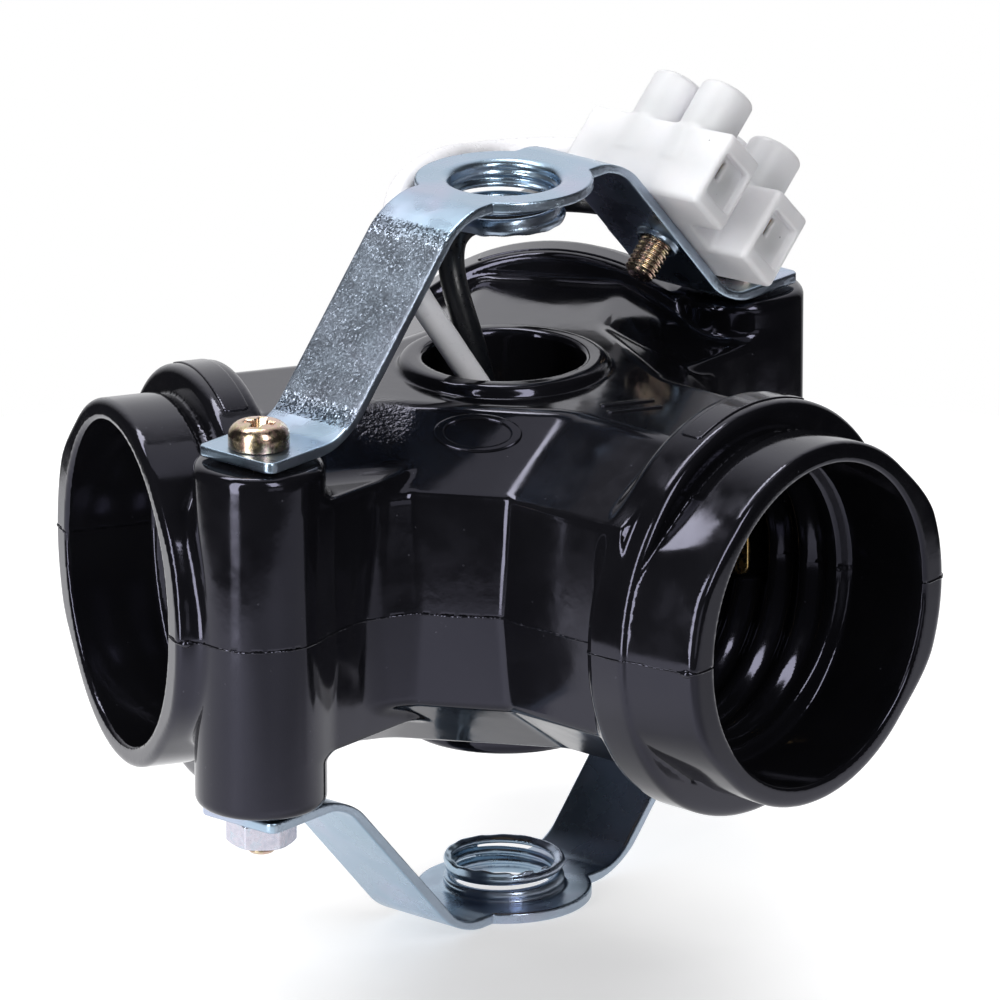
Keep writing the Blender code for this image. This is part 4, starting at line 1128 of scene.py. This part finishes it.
def neutral_lug_field(x, y, z):
    """In the axes of the plate's corner, with +Y out to the corner."""
    top = NEUTRAL_PLATE_HEIGHTS[0] - 0.05
    foot = box(x, y, z, (-1.2, 1.2), (10.4, 12.4), (top - STRIP, top), 0.1)
    riser = box(x, y, z, (-1.0, 1.0), (10.5, 10.9), (2.4, top - 0.1), 0.1)
    u, v, w = local(LUG_PLACE, x, y, z)
    radius = np.hypot(u, v)
    crimp = 0.25 * smooth_step(np.abs(w - 1.6), 0.0, 0.8)
    sleeve = meet(radius - LUG_RADIUS + 0.25 - crimp, between(w, 0, 3.0), 0.12)
    sleeve = cut(sleeve, np.maximum(radius - LUG_BORE_RADIUS, 1.0 - w), 0.1)
    return join(join(foot, riser, 0.2), sleeve, 0.2)


def rivet(name, bottom, top, step, brass, place):
    size = RIVET_HEAD_RADIUS + 0.3
    low, high = (-size, -size, bottom - 0.3), (size, size, top + 0.3)
    solid(name, rivet_field(bottom, top), low, high, step, brass, [name], place=place)


def socket_contacts(side, place, step, brass):
    """One socket's centre contact and side contact, each with its rivet."""
    name = f"centre_contact_{side}"
    low, high = (-2.8, 5.7, CENTRE_FOOT - 0.5), (2.8, 14.3, 3.3)
    solid(name, centre_field, low, high, step, brass, [name], name + "_body", place)
    name = f"side_contact_{side}"
    low, high = (SIDE_X - 0.6, 5.5, -2.6), (SIDE_X + 1.2, 19.6, 2.6)
    solid(name, side_field, low, high, step, brass, [name], name + "_body", place)
    foot = place @ Matrix.Translation((0, RIVET_Y, 0))
    top = CENTRE_FOOT + STRIP / 2 + 0.3 + RIVET_HEAD_HEIGHT
    rivet(f"centre_rivet_{side}", CARRIER_HEIGHTS[0] + 0.3, top, step, brass, foot)
    # The side rivet lies across the socket.
    foot = foot @ Matrix(((0, 0, 1, 0), (1, 0, 0, 0), (0, 1, 0, 0), (0, 0, 0, 1)))
    bottom = LEG_X - STRIP / 2 - 0.3 - RIVET_HEAD_HEIGHT
    top = SIDE_X + STRIP / 2 + 0.3 + RIVET_HEAD_HEIGHT
    rivet(f"side_rivet_{side}", bottom, top, step, brass, foot)


def contacts(brass, fibre):
    step = 0.11
    plates = (
        ("contact_carrier", carrier_field, CARRIER_RADIUS, CARRIER_HEIGHTS, fibre, "fibre_board"),
        ("line_plate", line_plate_field, LINE_PLATE_RADIUS, LINE_PLATE_HEIGHTS, brass, "brass"),
        ("neutral_plate", neutral_plate_field, 17.2, (LEG_FOOT, NEUTRAL_PLATE_HEIGHTS[1]), brass, "brass"),
    )
    for name, field, reach, heights, material, slot in plates:
        low = (-reach - 0.3, -reach - 0.3, heights[0] - 0.3)
        high = (reach + 0.3, reach + 0.3, heights[1] + 0.3)
        solid(name, field, low, high, step * 1.2, material, [name])
    for side, turn in SOCKET_TURNS.items():
        socket_contacts(side, turned(turn), step, brass)
    low, high = (-2.5, -2.5, LINE_PLATE_HEIGHTS[1] - 0.3), (2.5, 2.5, LINE_PLATE_HEIGHTS[1] + 4.0)
    solid("line_lug", line_lug_field, low, high, step, brass, ["line_lug"])
    low, high = (-2.0, 5.0, 1.0), (2.0, 12.7, NEUTRAL_PLATE_HEIGHTS[0] + 0.3)
    corner = turned(120)
    solid("neutral_lug", neutral_lug_field, low, high, step, brass, ["neutral_lug"], place=corner)


# Stage ------------------------


def camera():
    """The photo's camera, by its turn from the -Y side."""
    azimuth, elevation = math.radians(CAMERA_AZIMUTH), math.radians(CAMERA_ELEVATION)
    level = math.cos(elevation)
    back = Vector((math.sin(azimuth) * level, -math.cos(azimuth) * level, math.sin(elevation)))
    target = TO_ROW @ Vector(CAMERA_TARGET)
    data = bpy.data.cameras.new("camera")
    data.lens = CAMERA_LENS
    data.sensor_width = 36
    thing = bpy.data.objects.new("camera", data)
    thing.location = target + back * CAMERA_DISTANCE
    thing.rotation_euler = (-back).to_track_quat("-Z", "Y").to_euler()
    bpy.context.scene.collection.objects.link(thing)
    bpy.context.scene.camera = thing


def softbox(name, azimuth, elevation, width, height, brightness):
    """A rectangular lamp that faces the object, with its azimuth measured from +X towards +Y."""
    data = bpy.data.lights.new(name, "AREA")
    data.shape = "RECTANGLE"
    data.size = 2 * SOFTBOX_DISTANCE * math.tan(math.radians(width / 2))
    data.size_y = 2 * SOFTBOX_DISTANCE * math.tan(math.radians(height / 2))
    data.energy = brightness * math.pi * data.size * data.size_y
    lamp = bpy.data.objects.new(name, data)
    a, e = math.radians(azimuth), math.radians(elevation)
    away = Vector((math.cos(a) * math.cos(e), math.sin(a) * math.cos(e), math.sin(e)))
    lamp.location = TO_ROW @ Vector((0, 0, 0)) + away * SOFTBOX_DISTANCE
    lamp.rotation_euler = away.to_track_quat("Z", "Y").to_euler()
    bpy.context.scene.collection.objects.link(lamp)


def surroundings():
    """A white page behind the object, and for reflections a dark room with a pale backdrop and ceiling."""
    world = bpy.data.worlds.new("studio")
    world.use_nodes = True
    tree = world.node_tree
    tree.nodes.clear()
    output = tree.nodes.new("ShaderNodeOutputWorld")
    room = tree.nodes.new("ShaderNodeBackground")
    page = tree.nodes.new("ShaderNodeBackground")
    page.inputs["Color"].default_value = (1, 1, 1, 1)
    choice = tree.nodes.new("ShaderNodeMixShader")
    rays = tree.nodes.new("ShaderNodeLightPath")
    tree.links.new(rays.outputs["Is Camera Ray"], choice.inputs["Fac"])
    tree.links.new(room.outputs[0], choice.inputs[1])
    tree.links.new(page.outputs[0], choice.inputs[2])
    tree.links.new(choice.outputs[0], output.inputs["Surface"])
    directions = tree.nodes.new("ShaderNodeTexCoord")
    toward = tree.nodes.new("ShaderNodeVectorMath")
    toward.operation = "DOT_PRODUCT"
    toward.inputs[1].default_value = BACKDROP_DIRECTION
    tree.links.new(directions.outputs["Generated"], toward.inputs[0])
    shade = tree.nodes.new("ShaderNodeValToRGB")
    elements = shade.color_ramp.elements
    elements[0].position, elements[0].color = 0.66, (0.02, 0.02, 0.023, 1)
    elements[1].position, elements[1].color = 0.93, (0.96, 0.96, 0.98, 1)
    tree.links.new(toward.outputs["Value"], shade.inputs["Fac"])
    tree.links.new(shade.outputs["Color"], room.inputs["Color"])
    bpy.context.scene.world = world


def floor():
    mesh = bpy.data.meshes.new("floor")
    bm = bmesh.new()
    bmesh.ops.create_circle(bm, cap_ends=True, segments=96, radius=FLOOR_RADIUS)
    bm.to_mesh(mesh)
    bm.free()
    disc = bpy.data.objects.new("floor", mesh)
    disc.location = TO_ROW @ Vector((0, 0, -PLATE_FACE - 0.05))
    mesh.materials.append(pale_floor())
    bpy.context.scene.collection.objects.link(disc)


def studio():
    bpy.context.scene.view_settings.view_transform = "Standard"
    surroundings()
    floor()
    for lamp in SOFTBOXES:
        softbox(*lamp)


camera()
zinc, steel, gold, brass = zinc_plate(), bright_zinc(), yellow_zinc(), brass_sheet()
black = black_phenolic()
white_pvc = insulation("white_pvc", (0.86, 0.86, 0.89), (0.91, 0.90, 0.93))
black_pvc = insulation("black_pvc", (0.005, 0.006, 0.008), (0.009, 0.010, 0.013))
lead("white_lead", WHITE_ROUTE, white_pvc)
lead("black_lead", BLACK_ROUTE, black_pvc)
housings(black)
plain_marks(black)
brackets(zinc)
clamp_fasteners(gold, steel)
terminal_block(white_polyamide(), brass, gold, steel)
contacts(brass, fibre_board())
studio()
